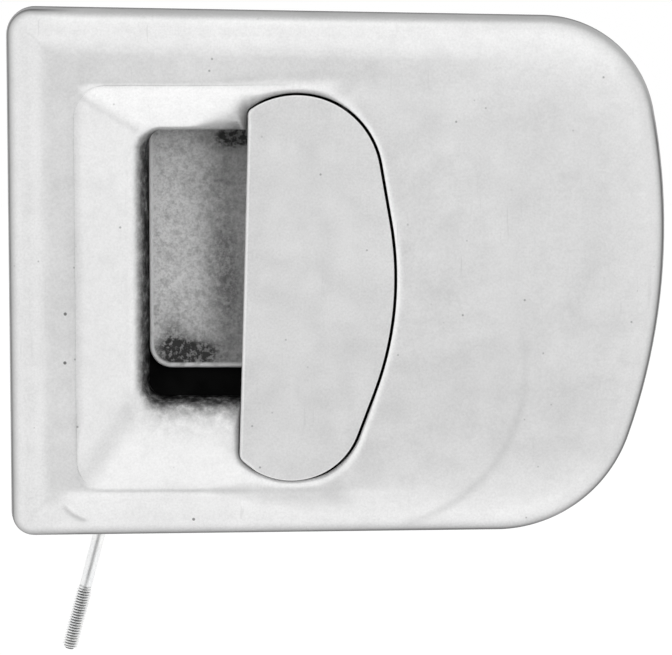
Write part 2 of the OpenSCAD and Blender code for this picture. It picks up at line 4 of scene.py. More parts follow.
import bmesh
import bpy
import numpy as np
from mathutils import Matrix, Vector


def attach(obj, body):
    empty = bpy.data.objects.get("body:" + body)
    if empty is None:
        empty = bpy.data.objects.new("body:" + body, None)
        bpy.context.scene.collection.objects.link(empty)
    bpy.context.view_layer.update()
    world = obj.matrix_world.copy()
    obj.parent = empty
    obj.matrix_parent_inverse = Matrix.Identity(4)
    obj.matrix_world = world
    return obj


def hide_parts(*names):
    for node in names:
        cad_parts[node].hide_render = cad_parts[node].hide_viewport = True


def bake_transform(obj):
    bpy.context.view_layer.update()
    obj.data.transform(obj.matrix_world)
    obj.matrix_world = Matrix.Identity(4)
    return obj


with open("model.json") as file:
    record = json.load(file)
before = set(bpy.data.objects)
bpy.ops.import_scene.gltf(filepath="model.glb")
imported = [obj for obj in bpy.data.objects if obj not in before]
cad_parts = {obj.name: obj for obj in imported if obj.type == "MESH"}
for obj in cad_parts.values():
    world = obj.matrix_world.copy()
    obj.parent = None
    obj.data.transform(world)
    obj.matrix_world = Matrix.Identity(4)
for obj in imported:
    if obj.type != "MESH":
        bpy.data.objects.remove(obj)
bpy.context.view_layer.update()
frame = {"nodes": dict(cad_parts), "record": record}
NODES = frame["nodes"]
MM = 0.001

# Guards against division by nought and against doubled points.
TINY, SMALL, SAME_POINT = 1e-12, 1e-6, 1e-9

# Sizes in millimetres and angles in degrees, from the part's source or fitted closer to the photo.
FACE_Y, RISE = -11.8, 10.3
PADDLE_Y, PADDLE_BACK_Y = -11.6, -5.2
SOLID_GAP = 1.2
SEEN_GAP = dict(low=0.24, right=0.43, top=0.1, edge=0.35)
GAP_RIGHT_X, GAP_RIGHT_Z = (-9.0, -1.0), (-46.0, -25.0)
GAP_TOP_X, GAP_TOP_Z, GAP_EDGE_X = (2.0, -8.0), (25.0, 40.0), (-17.0, -21.0)
DISH = dict(x0=-62.6, x1=3.0, z0=-52.4, z1=44.9, left=15.6, right=17.0, top=9.9, bottom=21.0, deep=6.4)
HOLE, HOLE_FILLET = dict(x0=-47.0, z0=-32.0, z1=34.5, r=5.0), 0.9
FLOOR_BOX, FLOOR_R = (-46.6, -9.0, -25.0, 38.5), 5.5
FLOOR_Y, FLOOR_BACK_Y = 12.8, 16.8
CRANK_Y = 24.2
ROD_Y, ROD_R, ROD_L, ROD_LEAN, BEND_R = 33.0, 1.6, 92.8, 15.0, 3.6
THREAD_R, THREAD_L, PITCH = 2.0, 17.0, 0.7
SPRING_R, WIRE_R, SPRING_TURNS, SPRING_Y = 5.6, 0.6, 2.25, (19.7, 22.8)
SHARP_ANGLE, WIRE_SHARP_ANGLE, FACING_OUT = 30, 50, -0.02

# Circles (x, z, r) that the outlines go round, the radius of the plate's round end, and the paddle's noses.
PLATE_TOP, PLATE_LOW, PLATE_END_R = (49.4, 34.1, 28.0), (38.9, -28.9, 34.6), 153.0
PLATE_CORNERS = (-72.7, 57.2, 7.0), (-73.7, -58.9, 6.0)
PADDLE_LOW, PADDLE_SIDE, PADDLE_TOP = (-10.8, -33.0, 17.0), (-64.0, -1.2, 78.0), (-9.3, 22.7, 20.0)
UPPER_NOSE, LOWER_NOSE = dict(x=-21.0, r=1.5, side=1), dict(x=-23.3, r=2.5, side=-1)


def pivot(joint):
    """Where a joint's axis meets the front plane, as (x, z) in millimetres."""
    at = next(j for j in frame["record"]["behaviour"]["joints"] if j["name"] == joint)["pos_m"]
    return at[0] / MM, at[2] / MM


CRANK, EYE = pivot("crank_turn"), pivot("rod_swivel")


# Outlines

def facing(a, b):
    """The angle on both circles, in degrees, where a belt from circle a to circle b touches them."""
    v = (b[0] - a[0], b[1] - a[1])
    k = (a[2] - b[2]) / math.hypot(*v)
    return math.degrees(math.atan2(v[1], v[0]) - math.acos(max(-1.0, min(1.0, k))))


def arc_points(x, z, r, start, turn, n=14):
    """Points along a circle from a start angle through a turn, both in degrees."""
    angles = [math.radians(start + turn * k / n) for k in range(n + 1)]
    return [(x + r * math.cos(a), z + r * math.sin(a)) for a in angles]


def belt(circles, spacing=1.5):
    """A belt pulled tight round circles (x, z, r) listed anticlockwise, one list of points per circle."""
    arcs = []
    for i, here in enumerate(circles):
        before, after = circles[i - 1], circles[(i + 1) % len(circles)]
        start = facing(before, here)
        turn = (facing(here, after) - start) % 360
        turn = 0 if turn > 359 else turn
        arcs.append(arc_points(*here, start, turn, max(1, math.ceil(turn / spacing))))
    return arcs


def flat(arcs):
    """The points of all arcs in one array."""
    return np.array([p for arc in arcs for p in arc])


def flank(a, b, r):
    """The circle of radius r that holds circles a and b and touches both."""
    v = (b[0] - a[0], b[1] - a[1])
    length = math.hypot(*v)
    ux, uz = v[0] / length, v[1] / length
    p, q = r - a[2], r - b[2]
    along = (p * p - q * q + length * length) / (2 * length)
    off = math.sqrt(p * p - along * along)
    return (a[0] + ux * along - uz * off, a[1] + uz * along + ux * off, r)


def nose(end, x, r, side):
    """The circle of radius r inside a larger one and against the line at x, above (1) or below (-1)."""
    reach = end[2] - r
    return (x + r, end[1] + side * math.sqrt(reach * reach - (x + r - end[0]) ** 2), r)


def plate_outline():
    """The plate's D-shaped outline."""
    side = flank(PLATE_LOW, PLATE_TOP, PLATE_END_R)
    return flat(belt([PLATE_LOW, side, PLATE_TOP, *PLATE_CORNERS]))


def paddle_arcs():
    """The half-moon's outline as arcs: bottom end, flank, top end, upper nose, lower nose."""
    upper, lower = nose(PADDLE_TOP, **UPPER_NOSE), nose(PADDLE_LOW, **LOWER_NOSE)
    return belt([PADDLE_LOW, PADDLE_SIDE, PADDLE_TOP, upper, lower])


def paddle_gap(x, z):
    """The gap seen round the paddle: narrowest below, widest on its right."""
    right_side = np.maximum(step(z, *GAP_RIGHT_Z), step(x, *GAP_RIGHT_X))
    gap = SEEN_GAP["low"] + SEEN_GAP["right"] * right_side
    gap = gap - SEEN_GAP["top"] * step(z, *GAP_TOP_Z) * step(x, *GAP_TOP_X)
    return gap + (SEEN_GAP["edge"] - gap) * step(x, *GAP_EDGE_X)


def paddle_hole():
    """Arcs of the paddle's outline moved out by the gap."""
    arcs = paddle_arcs()
    ring = flat(arcs)
    moved = ring - inward(ring) * paddle_gap(*ring.T)[:, None]
    cuts = np.cumsum([len(a) for a in arcs])[:-1]
    return [list(map(tuple, part)) for part in np.split(moved, cuts)]


def hole_outline():
    """The opening in the plate: the paddle's outline with its gap, joined to the recess on its left."""
    arcs = paddle_hole()
    top, low = arcs[3][-1], arcs[4][0]

    def edge(z):
        """Where the paddle's straight edge lies at a height."""
        return top[0] + (low[0] - top[0]) * (z - top[1]) / (low[1] - top[1])

    x0, z0, z1, r, f = HOLE["x0"], HOLE["z0"], HOLE["z1"], HOLE["r"], HOLE_FILLET
    path = [p for arc in arcs[:4] for p in arc]
    path += arc_points(edge(z1 + f) - f, z1 + f, f, 0, -90)
    path += arc_points(x0 + r, z1 - r, r, 90, 90)
    path += arc_points(x0 + r, z0 + r, r, 180, 90)
    path += arc_points(edge(z0 - f) - f, z0 - f, f, 90, -90)
    path += arcs[4]
    return np.array(path)


def panel(box, r, inset=0.0):
    """The outline of a box (x0, x1, z0, z1) with corners of radius r, moved in by an inset."""
    x0, x1, z0, z1 = box
    corners = ((x1 - r, z0 + r), (x1 - r, z1 - r), (x0 + r, z1 - r), (x0 + r, z0 + r))
    return flat(belt([(x, z, r - inset) for x, z in corners], spacing=5))


def resample(points, n):
    """n points evenly spaced along a closed path."""
    loop = np.vstack([points, points[:1]])
    along = np.r_[0, np.cumsum(np.hypot(*np.diff(loop, axis=0).T))]
    keep = np.r_[True, np.diff(along) > SAME_POINT]
    at = np.linspace(0, along[-1], n, endpoint=False)
    return np.c_[np.interp(at, along[keep], loop[keep, 0]), np.interp(at, along[keep], loop[keep, 1])]


def distance(points, outline):
    """How far each point is from a closed path."""
    a, b = outline, np.roll(outline, -1, axis=0)
    ab = b - a
    size = np.maximum((ab ** 2).sum(1), TINY)
    out = np.empty(len(points))
    batch = 4000
    for i in range(0, len(points), batch):
        p = points[i:i + batch, None, :]
        t = np.clip(((p - a) * ab).sum(2) / size, 0, 1)
        out[i:i + batch] = np.sqrt(((a + t[..., None] * ab - p) ** 2).sum(2).min(1))
    return out


def inward(ring):
    """The direction into a closed anticlockwise path at each of its points."""
    along = np.roll(ring, -1, axis=0) - np.roll(ring, 1, axis=0)
    return np.c_[-along[:, 1], along[:, 0]] / np.hypot(*along.T)[:, None]


def spokes(ring, ends, least):
    """Directions and lengths from a ring's points to their ends, and how squarely each leaves the ring."""
    way = ends - ring
    length = np.hypot(*way.T)
    way = way / length[:, None]
    return way, length, np.clip((inward(ring) * way).sum(1), least, 1)


def rays(hole, outline, centre):
    """The point of the outline that lies on the ray from the centre through each point of the hole."""
    full, least_share = 2 * math.pi, 0.02
    dense = resample(outline, 6000)
    around = np.unwrap(np.arctan2(*(dense - centre).T[::-1]))
    order = np.argsort(around)
    around, dense = around[order], dense[order]
    around = np.r_[around - full, around, around + full]
    dense = np.vstack([dense] * 3)
    turn = np.unwrap(np.arctan2(*(hole - centre).T[::-1]))
    least = least_share * full / len(hole)
    for i in range(1, len(turn)):
        turn[i] = max(turn[i], turn[i - 1] + least)
    middle = around[len(around) // 2]
    turn = turn - full * round((turn.mean() - middle) / full)
    return np.c_[np.interp(turn, around, dense[:, 0]), np.interp(turn, around, dense[:, 1])]


# Curves

def curve(xs, ys):
    """A smooth curve through points that never overshoots them."""
    xs, ys = np.array(xs, float), np.array(ys, float)
    gaps = np.diff(xs)
    slopes = np.diff(ys) / gaps
    before, after = slopes[:-1], slopes[1:]
    between = np.where(after * before > 0, 2 * after * before / (after + before + TINY), 0)
    tilt = np.r_[slopes[0], between, slopes[-1]]

    def at(x):
        """The curve's height at x, held level beyond its ends."""
        x = np.clip(x, xs[0], xs[-1])
        i = np.clip(np.searchsorted(xs, x) - 1, 0, len(gaps) - 1)
        t = (x - xs[i]) / gaps[i]
        return (ys[i] * (1 + 2 * t) * (1 - t) ** 2 + tilt[i] * gaps[i] * t * (1 - t) ** 2
                + ys[i + 1] * t * t * (3 - 2 * t) + tilt[i + 1] * gaps[i] * t * t * (t - 1))
    return at


def soft_min(values, width):
    """The least of several values, rounded over a width where two are close."""
    out = values[0]
    for value in values[1:]:
        h = np.clip(0.5 + 0.5 * (value - out) / width, 0, 1)
        out = value * (1 - h) + out * h - width * h * (1 - h)
    return out


def step(x, a, b):
    """A smooth step from nought at a to one at b."""
    t = np.clip((x - a) / (b - a), 0, 1)
    return t * t * (3 - 2 * t)


def roll(far, radius, deep):
    """An edge rolled in over a quarter ellipse, by the distance from the edge."""
    return deep * (1 - np.sqrt(1 - np.clip(1 - far / radius, 0, 1) ** 2))


# Meshes

def add_object(name, data):
    """A new object in the scene."""
    obj = bpy.data.objects.new(name, data)
    bpy.context.scene.collection.objects.link(obj)
    return obj


def smooth_shade(mesh, angle):
    """Smooth shading, but for edges sharper than an angle in degrees."""
    mesh.polygons.foreach_set("use_smooth", [True] * len(mesh.polygons))
    mesh.set_sharp_from_angle(angle=math.radians(angle))


def smooth_object(name, verts, faces):
    """A new object with smooth shading all over."""
    mesh = bpy.data.meshes.new(name)
    mesh.from_pydata([tuple(v) for v in verts], [], faces)
    mesh.validate()
    mesh.polygons.foreach_set("use_smooth", [True] * len(mesh.polygons))
    return add_object(name, mesh)


def level(ring, y):
    """A row of points: a ring of (x, z) at a depth, or at one depth per point."""
    return np.c_[ring[:, 0], np.broadcast_to(y, len(ring)), ring[:, 1]]


def loft(name, rows, cap_last=False, flip=False):
    """A skin over closed rows of points (each row n x 3, in millimetres)."""
    n = len(rows[0])
    faces = []
    for r in range(len(rows) - 1):
        for i in range(n):
            j = (i + 1) % n
            face = (r * n + i, r * n + j, (r + 1) * n + j, (r + 1) * n + i)
            faces.append(face[::-1] if flip else face)
    if cap_last:
        last = [(len(rows) - 1) * n + i for i in range(n)]
        faces.append(last[::-1] if flip else last)
    return smooth_object(name, np.vstack(rows) * MM, faces)


def store(obj, name, rows):
    """Keep a value for each point of a loft, for its material."""
    obj.data.attributes.new(name, "FLOAT", "POINT").data.foreach_set("value", np.concatenate(rows))


def front_faces(outline, upright, reach):
    """A test for the faces that a front skin takes over: the front, and the walls along an outline."""
    def test(centres, normals):
        """True for each face to leave out, by its centre in millimetres and its normal."""
        walls = (np.abs(normals[:, 1]) < upright) & (distance(centres[:, [0, 2]], outline) < reach)
        return (normals[:, 1] < FACING_OUT) | walls
    return test


def back_of(node, name, drop):
    """A copy of a CAD node without the faces that a test picks."""
    obj = add_object(name, NODES[node].data.copy())
    bm = bmesh.new()
    bm.from_mesh(obj.data)
    centres = np.array([f.calc_center_median() for f in bm.faces]) / MM
    normals = np.array([f.normal for f in bm.faces])
    gone = drop(centres, normals)
    bmesh.ops.delete(bm, geom=[f for f, g in zip(list(bm.faces), gone) if g], context="FACES")
    bm.to_mesh(obj.data)
    bm.free()
    obj.data.set_sharp_from_angle(angle=math.radians(SHARP_ANGLE))
    return obj


def sweep(name, path, radius, sides):
    """A round wire along a path of points, in millimetres. radius(i, angles) may vary; ends are closed."""
    path = np.array(path, float)
    heads = np.gradient(path, axis=0)
    heads /= np.linalg.norm(heads, axis=1)[:, None]
    u = np.cross(heads[0], [1, 0, 0] if abs(heads[0][0]) < 0.8 else [0, 0, 1])
    u /= np.linalg.norm(u)
    angles = np.linspace(0, 2 * math.pi, sides, endpoint=False)
    rows, sizes = [], []
    for i, (p, head) in enumerate(zip(path, heads)):
        u = u - head * (u @ head)
        u /= np.linalg.norm(u)
        v = np.cross(head, u)
        r = radius(i, angles)
        sizes.append(r)
        rows.append(p + (np.cos(angles) * r)[:, None] * u + (np.sin(angles) * r)[:, None] * v)
    obj = loft(name, rows, cap_last=True)
    store(obj, "radius", sizes)
    bm = bmesh.new()
    bm.from_mesh(obj.data)
    bm.verts.ensure_lookup_table()
    bm.faces.new([bm.verts[i] for i in reversed(range(sides))])
    bmesh.ops.recalc_face_normals(bm, faces=bm.faces)
    bm.to_mesh(obj.data)
    bm.free()
    smooth_shade(obj.data, WIRE_SHARP_ANGLE)
    return obj


# The plate's front, by distance from its rim, from the recess and from the paddle

def rim_profile(*stops):
    """Depth below the crown by the distance from the rim: a steep start, then these stops, then level."""
    far, deep = zip((0, RISE), (0.35, 8.2), (0.9, 5.2), *stops, (90, 0.0))
    return curve(far, deep)


EDGE_PROFILE = rim_profile((1.3, 3.9), (1.8, 2.9), (2.6, 2.1), (3.6, 1.6), (7.0, 1.02), (10.0, 0.62),
                           (11.6, 0.5), (16, 0.42), (26, 0.13), (38, 0.0))
LEFT_PROFILE = rim_profile((1.3, 3.7), (1.8, 2.5), (2.6, 1.75), (3.6, 1.4), (7.0, 0.94), (10.0, 0.58),
                           (11.6, 0.5), (16, 0.42), (26, 0.13), (38, 0.0))
FOOT_PROFILE = rim_profile((1.3, 3.9), (1.8, 3.0), (2.6, 2.3), (3.6, 1.95), (7.0, 1.38), (10.0, 0.88),
                           (12.4, 0.5), (14.5, 0.42), (26, 0.13), (38, 0.0))
ROUND_PROFILE = rim_profile((1.3, 4.15), (1.8, 3.4), (3.0, 2.75), (5.0, 2.3), (8.0, 1.8), (12.0, 1.3),
                            (17.0, 0.86), (22.0, 0.6), (27.0, 0.5), (32.0, 0.42), (45.0, 0.13), (60.0, 0.0))

# Share of the paint's lightness left, by distance in millimetres: dirt and painted shade on the recess's
# lips, painted shade in its corner by the paddle and along the seam beside the paddle, rubbed paint and
# painted shade at the plate's rim, and a narrow painted shade line just inside the rim.
LOW_DIRT_AND_SHADE = curve([0, 1.5, 3.5, 6.0, 8.5, 12.0], [0.14, 0.42, 0.7, 0.86, 0.95, 1.0])
LEFT_DIRT_AND_SHADE = curve([0, 1.0, 2.2, 4.0], [0.18, 0.62, 0.92, 1.0])
TOP_DIRT_AND_SHADE = curve([0, 0.4, 1.0], [0.5, 0.85, 1.0])
CORNER_SHADE = curve([0, 2.0, 4.0, 6.0, 8.0], [0.35, 0.52, 0.78, 0.95, 1.0])
SEAM_SHADE = curve([0, 1.0, 3.0, 5.0], [0.86, 0.93, 0.98, 1.0])
RIM_WEAR_AND_SHADE = curve([0, 0.2, 0.35, 0.6, 0.85, 1.2, 1.8, 2.6, 4.2, 5.5],
                 [0.03, 0.06, 0.17, 0.24, 0.30, 0.38, 0.52, 0.72, 0.93, 1.0])
RIM_SHADE_LINE = dict(at=1.1, wide=0.38, dark=0.88)
SEAM_SHARE = 0.25

# Two faint curved lines on the face: circle, width, depth, darkness, and the angles of their ends.
# Along the long arc the darkness is painted shade of its shallow crease; at the lower left corner it is a
# darker line along a slight dent.
FACE_ARC = dict(x=6.3, z=-22.8, r=39.3, wide=1.0, deep=0.03, dark=0.15,
                start=(-80.0, -66.0), end=(28.0, -20.0))
CORNER_ARC = dict(x=-58.0, z=-50.0, r=10.1, wide=0.5, deep=0.08, dark=0.3,
                    start=(-148.0, -138.0), end=(-98.0, -112.0))
CREASES = (FACE_ARC, CORNER_ARC)

# The recess's upper corner beside the paddle, and how much sooner the round end begins low down.
CORNER_X, ROUND_SOONER = -22.0, 28.0

# Places on the face where a zone begins and where it is full.
IN_RECESS_X, BESIDE_PADDLE_X = (-21.0, -24.5), (-18.0, -22.0)
ROUND_END_X, ROUND_SOONER_Z = (8.0, 58.0), (-15.0, -40.0)
LEFT_BORDER_X, FOOT_Z = (-62.0, -70.0), (-30.0, -45.0)
DISH_FOOT_Z, DISH_RIGHT_X = (-32.0, -44.0), (-36.0, -6.0)
LIP_CORNER_X, LIP_CORNER_Z = (-36.0, -25.0), (22.0, 33.0)
UPPER_Z, SHOULDER_X, SHOULDER_Z = (24.0, 34.0), (-7.0, -1.0), (-26.0, -34.0)
# The zones below mark where the painted shade line just inside the rim runs: left side, bottom and right end.
SHADE_LINE_LEFT_X, SHADE_LINE_LOW_Z, SHADE_LINE_LOW_X = (-60.0, -73.0), (-48.0, -58.0), (70.0, 40.0)
SHADE_LINE_RIGHT_X, SHADE_LINE_RIGHT_Z = (40.0, 66.0), (50.0, 30.0)

# How the dish's edge is softened, as shares of its slope, and how the lips are rolled, in millimetres.
DISH_BLEND, DISH_LIMIT = 0.3, 1.1
DISH_SOFT = dict(base=0.14, foot=0.115, right=0.24)
LIP_R, LIP_LEAST_R = dict(low=9.0, left=3.4, top=1.0, corner=6.0), 0.1
LIP_DEEP = dict(low=2.0, left=2.0, top=1.0, corner=1.6)
EDGE_R = dict(base=2.4, beside=1.0, upper=1.4)
EDGE_DEEP = dict(base=0.6, beside=0.3, upper=1.6, shoulder=0.4)


class Spots:
    """Points of the plate with what decides their depth, their dirt and their painted shade."""

    def __init__(self, p, outline, paddle):
        r = HOLE["r"]
        self.x, self.z = p.T
        self.from_rim = distance(p, outline)
        self.from_paddle = distance(p, paddle)
        left = np.maximum(HOLE["x0"] + r - self.x, 0)
        low = np.maximum(HOLE["z0"] + r - self.z, 0)
        top = np.maximum(self.z - HOLE["z1"] + r, 0)
        size = np.sqrt(left ** 2 + low ** 2 + top ** 2) + SMALL
        self.from_recess = np.maximum(size - r, 0)
        self.left, self.low, self.top = (left / size) ** 2, (low / size) ** 2, (top / size) ** 2
        self.inside = step(self.x, *IN_RECESS_X)
        self.beside = step(self.x, *BESIDE_PADDLE_X)
        self.from_corner = np.hypot(self.x - CORNER_X, self.z - HOLE["z1"])

    def by_side(self, low, left, top):
        """A value mixed from those of the recess's lower, left and upper side."""
        return low * self.low + left * self.left + top * self.top

    def crease(self, line):
        """One along a curved line on the face, nought away from it."""
        turn = np.degrees(np.arctan2(self.z - line["z"], self.x - line["x"]))
        along = step(turn, *line["start"]) * step(turn, *line["end"])
        off = (np.hypot(self.x - line["x"], self.z - line["z"]) - line["r"]) / line["wide"]
        return np.exp(-off ** 2) * along

    def crown(self):
        """Depth of the border that falls to the rim, and of the faint lines on the face."""
        sooner = ROUND_SOONER * step(self.z, *ROUND_SOONER_Z)
        right = step(self.x, ROUND_END_X[0] - sooner, ROUND_END_X[1] - sooner)
        left = step(self.x, *LEFT_BORDER_X)
        foot = step(self.z, *FOOT_Z) * (1 - right - left)
        deep = EDGE_PROFILE(self.from_rim) * (1 - right - left - foot) + FOOT_PROFILE(self.from_rim) * foot
        deep = deep + ROUND_PROFILE(self.from_rim) * right + LEFT_PROFILE(self.from_rim) * left
        for line in CREASES:
            deep = deep + line["deep"] * self.crease(line)
        return deep

    def dish(self):
        """Depth of the shallow dish that slopes into the recess."""
        x, z = self.x, self.z
        sides = [(x - DISH["x0"]) / DISH["left"], (DISH["z1"] - z) / DISH["top"],
                 (z - DISH["z0"]) / DISH["bottom"], (DISH["x1"] - x) / DISH["right"]]
        down = soft_min(sides, DISH_BLEND)
        soft = DISH_SOFT["base"] - DISH_SOFT["foot"] * step(z, *DISH_FOOT_Z)
        soft = soft + DISH_SOFT["right"] * step(x, *DISH_RIGHT_X)
        down = np.where(down < -soft, 0, np.where(down < soft, (down + soft) ** 2 / (4 * soft), down))
        return DISH["deep"] * np.minimum(down, DISH_LIMIT)

    def lips(self):
        """Depth of the rolled lips round the recess and round the paddle."""
        corner = step(self.x, *LIP_CORNER_X) * step(self.z, *LIP_CORNER_Z)
        radius = self.by_side(LIP_R["low"], LIP_R["left"], LIP_R["top"] + LIP_R["corner"] * corner)
        deep = self.by_side(LIP_DEEP["low"], LIP_DEEP["left"], LIP_DEEP["top"] + LIP_DEEP["corner"] * corner)
        recess = self.inside * roll(self.from_recess, np.maximum(radius, LIP_LEAST_R), deep)
        upper = self.beside * step(self.z, *UPPER_Z)
        shoulder = step(self.x, *SHOULDER_X) * step(self.z, *SHOULDER_Z)
        radius = EDGE_R["base"] + EDGE_R["beside"] * self.beside + EDGE_R["upper"] * upper
        deep = EDGE_DEEP["base"] + EDGE_DEEP["beside"] * self.beside + EDGE_DEEP["upper"] * upper
        edge = roll(self.from_paddle, radius, deep + EDGE_DEEP["shoulder"] * shoulder)
        return np.cbrt(recess ** 3 + edge ** 3)

    def depth(self):
        """Depth of the plate's front below its crown, in millimetres."""
        return self.crown() + self.dish() + self.lips()

    def shade(self):
        """How much of the paint's lightness is left by dirt and painted shade round the recess, and by
        painted shade along the seam beside the paddle.
        """
        far = self.from_recess
        lip = self.by_side(LOW_DIRT_AND_SHADE(far), LEFT_DIRT_AND_SHADE(far), TOP_DIRT_AND_SHADE(far)) * CORNER_SHADE(self.from_corner)
        lip = 1 - self.inside * (1 - lip)
        seam = 1 - (1 - SEAM_SHADE(self.from_paddle)) * (SEAM_SHARE + (1 - SEAM_SHARE) * self.beside)
        return lip * seam

    def wear_and_shade(self):
        """How much of the paint's lightness is left at the plate's rim, rubbed and painted with shade and a
        painted shade line, and along the faint lines, painted darker.
        """
        left_side = step(self.x, *SHADE_LINE_LEFT_X)
        low_side = step(self.z, *SHADE_LINE_LOW_Z) * step(self.x, *SHADE_LINE_LOW_X)
        right_side = step(self.x, *SHADE_LINE_RIGHT_X) * step(self.z, *SHADE_LINE_RIGHT_Z)
        line = np.exp(-((self.from_rim - RIM_SHADE_LINE["at"]) / RIM_SHADE_LINE["wide"]) ** 2)
        line = line * np.maximum(np.maximum(left_side, low_side), right_side)
        wear_and_painted_light = RIM_WEAR_AND_SHADE(self.from_rim) * (1 - RIM_SHADE_LINE["dark"] * line)
        for crease in CREASES:
            wear_and_painted_light = wear_and_painted_light * (1 - crease["dark"] * self.crease(crease))
        return wear_and_painted_light


# The pieces

# The plate's skin: rows along its rim, across its face, beside its opening and down the opening's wall.
PLATE_CENTRE, PLATE_ROUND, PLATE_ROWS, PLATE_LEAN = np.array([-17.0, -2.0]), 900, 96, 0.35
RIM_ROWS = (0, 0.12, 0.3, 0.5, 0.7, 0.9, 1.1, 1.4, 1.8, 2.3, 2.9, 3.6, 4.4)
LIP_ROWS, LIP_BAND = (2.6, 2.2, 1.8, 1.4, 1.1, 0.8, 0.55, 0.34, 0.18, 0.07, 0.02, 0.0), 2.9
WALL_ROWS, WALL_LIGHT = (0.08, 0.2, 0.4, 0.7, 1.0), 0.04
WALL_DEEP, WALL_TUCK = dict(base=2.3, left=2.4, low=3.0), dict(left=1.2, low=1.3)
COARSE_PADDLE = 420


def plate_face(hole, outline):
    """Rows of spots from the plate's rim to its opening."""
    outer = rays(hole, outline, PLATE_CENTRE)
    way, length, lean = spokes(outer, hole, PLATE_LEAN)
    brink = length - LIP_BAND
    far = [np.minimum(e / lean, brink) for e in RIM_ROWS]
    first = far[-1]
    far += [first + (brink - first) * k / PLATE_ROWS for k in range(1, PLATE_ROWS + 1)]
    far += [length - e for e in LIP_ROWS]
    coarse_outline = resample(outline, PLATE_ROUND)
    coarse_paddle = resample(flat(paddle_hole()), COARSE_PADDLE)
    return [Spots(outer + way * f[:, None], coarse_outline, coarse_paddle) for f in far]


def plate_wall(hole, brink, spots):
    """Rows of the opening's wall, tucked under the recess's lip and cut back where the paddle turns past."""
    low, left = spots.low * spots.inside, spots.left * spots.inside
    from_paddle = distance(hole, resample(flat(paddle_arcs()), COARSE_PADDLE))
    relief = np.clip(SOLID_GAP - from_paddle, 0, SOLID_GAP) * (1 - spots.beside)
    tuck = WALL_TUCK["left"] * left + WALL_TUCK["low"] * low - relief
    rows = []
    for part in WALL_ROWS:
        shift = inward(hole) * (tuck * math.sin(part * math.pi / 2))[:, None]
        deeper = part * (WALL_DEEP["base"] + WALL_DEEP["left"] * left + WALL_DEEP["low"] * low)
        rows.append(level(brink[:, [0, 2]] + shift, brink[:, 1] + deeper))
    return rows


def make_plate():
    """The plate: a fine front skin with its opening, and the solid's own back."""
    hole = resample(hole_outline(), PLATE_ROUND)
    face = plate_face(hole, plate_outline())
    rows = [level(np.c_[spots.x, spots.z], FACE_Y + spots.depth()) for spots in face]
    shade, wear_and_shade = [spots.shade() for spots in face], [spots.wear_and_shade() for spots in face]
    rows += plate_wall(hole, rows[-1], face[-1])
    last_shade = shade[-1]
    # Painted shade: the stored shade darkens down the opening's wall, to WALL_LIGHT of itself at the foot.
    shade += [last_shade * (WALL_LIGHT + (1 - WALL_LIGHT) * (1 - part) ** 2) for part in WALL_ROWS]
    wear_and_shade += [np.ones(len(hole))] * len(WALL_ROWS)
    skin = loft("plate_skin", rows, flip=True)
    store(skin, "shade", shade)
    store(skin, "wear_and_shade", wear_and_shade)
    front = front_faces(resample(hole, 500), upright=0.3, reach=1.3)
    return skin, back_of("outer_plate", "plate_back", front)


# The paddle's skin: rows up its side, over its rounded edge and across its face.
PADDLE_CENTRE, PADDLE_ROUND, PADDLE_ROWS, PADDLE_LEAN = np.array([-6.0, -2.5]), 520, 41, 0.3
PADDLE_CROWN, PADDLE_CROWN_END = 0.16, 0.7
# Painted shade: shares of the paint's lightness kept on the paddle's side rows and on its rounded edge,
# darkening the side and dimming the edge's shine.
PADDLE_SIDE_Y, PADDLE_SIDE_SHADE = (PADDLE_BACK_Y, -6.5, -8.0, -9.5, -10.3), (0.1, 0.2, 0.3, 0.4, 0.5)
PADDLE_EDGE_R, PADDLE_EDGE_SHADE = dict(base=0.3, straight=0.6), dict(base=0.55, more=0.4)
PADDLE_EDGE_ANGLES, PADDLE_INSET_SHARE = np.linspace(0, 90, 9), 0.2
STRAIGHT_EDGE_X = (-19.0, -21.0)


def make_paddle():
    """The half-moon paddle: a fine front skin, a little crowned, and the solid's own back."""
    outline = flat(paddle_arcs())
    ring = resample(outline, PADDLE_ROUND)
    way, length, lean = spokes(ring, PADDLE_CENTRE, PADDLE_LEAN)
    rows = [level(ring, y) for y in PADDLE_SIDE_Y]
    # Painted shade down the paddle's side and over its rounded edge, stored for its material.
    wear_and_shade = [np.full(len(ring), w) for w in PADDLE_SIDE_SHADE]
    radius = PADDLE_EDGE_R["base"] + PADDLE_EDGE_R["straight"] * step(ring[:, 0], *STRAIGHT_EDGE_X)
    for angle in PADDLE_EDGE_ANGLES:
        turn = math.radians(angle)
        inset, rise = radius * (1 - math.cos(turn)), radius * (1 - math.sin(turn))
        p = ring + way * np.minimum(inset / lean, length * PADDLE_INSET_SHARE)[:, None]
        rows.append(level(p, PADDLE_Y + PADDLE_CROWN + rise))
        wear_and_shade.append(np.full(len(ring), PADDLE_EDGE_SHADE["base"] + PADDLE_EDGE_SHADE["more"] * angle / 90))
    rim = rows[-1][:, [0, 2]]
    for k in range(1, PADDLE_ROWS):
        part = k / PADDLE_ROWS
        rise = PADDLE_CROWN * (1 - step(part, 0, PADDLE_CROWN_END))
        rows.append(level(rim + (PADDLE_CENTRE - rim) * part, PADDLE_Y + rise))
        wear_and_shade.append(np.ones(len(ring)))
    skin = loft("paddle_skin", rows, cap_last=True, flip=True)
    store(skin, "wear_and_shade", wear_and_shade)
    front = front_faces(resample(outline, 600), upright=0.75, reach=0.35)
    return skin, back_of("pull_paddle", "paddle_back", front)


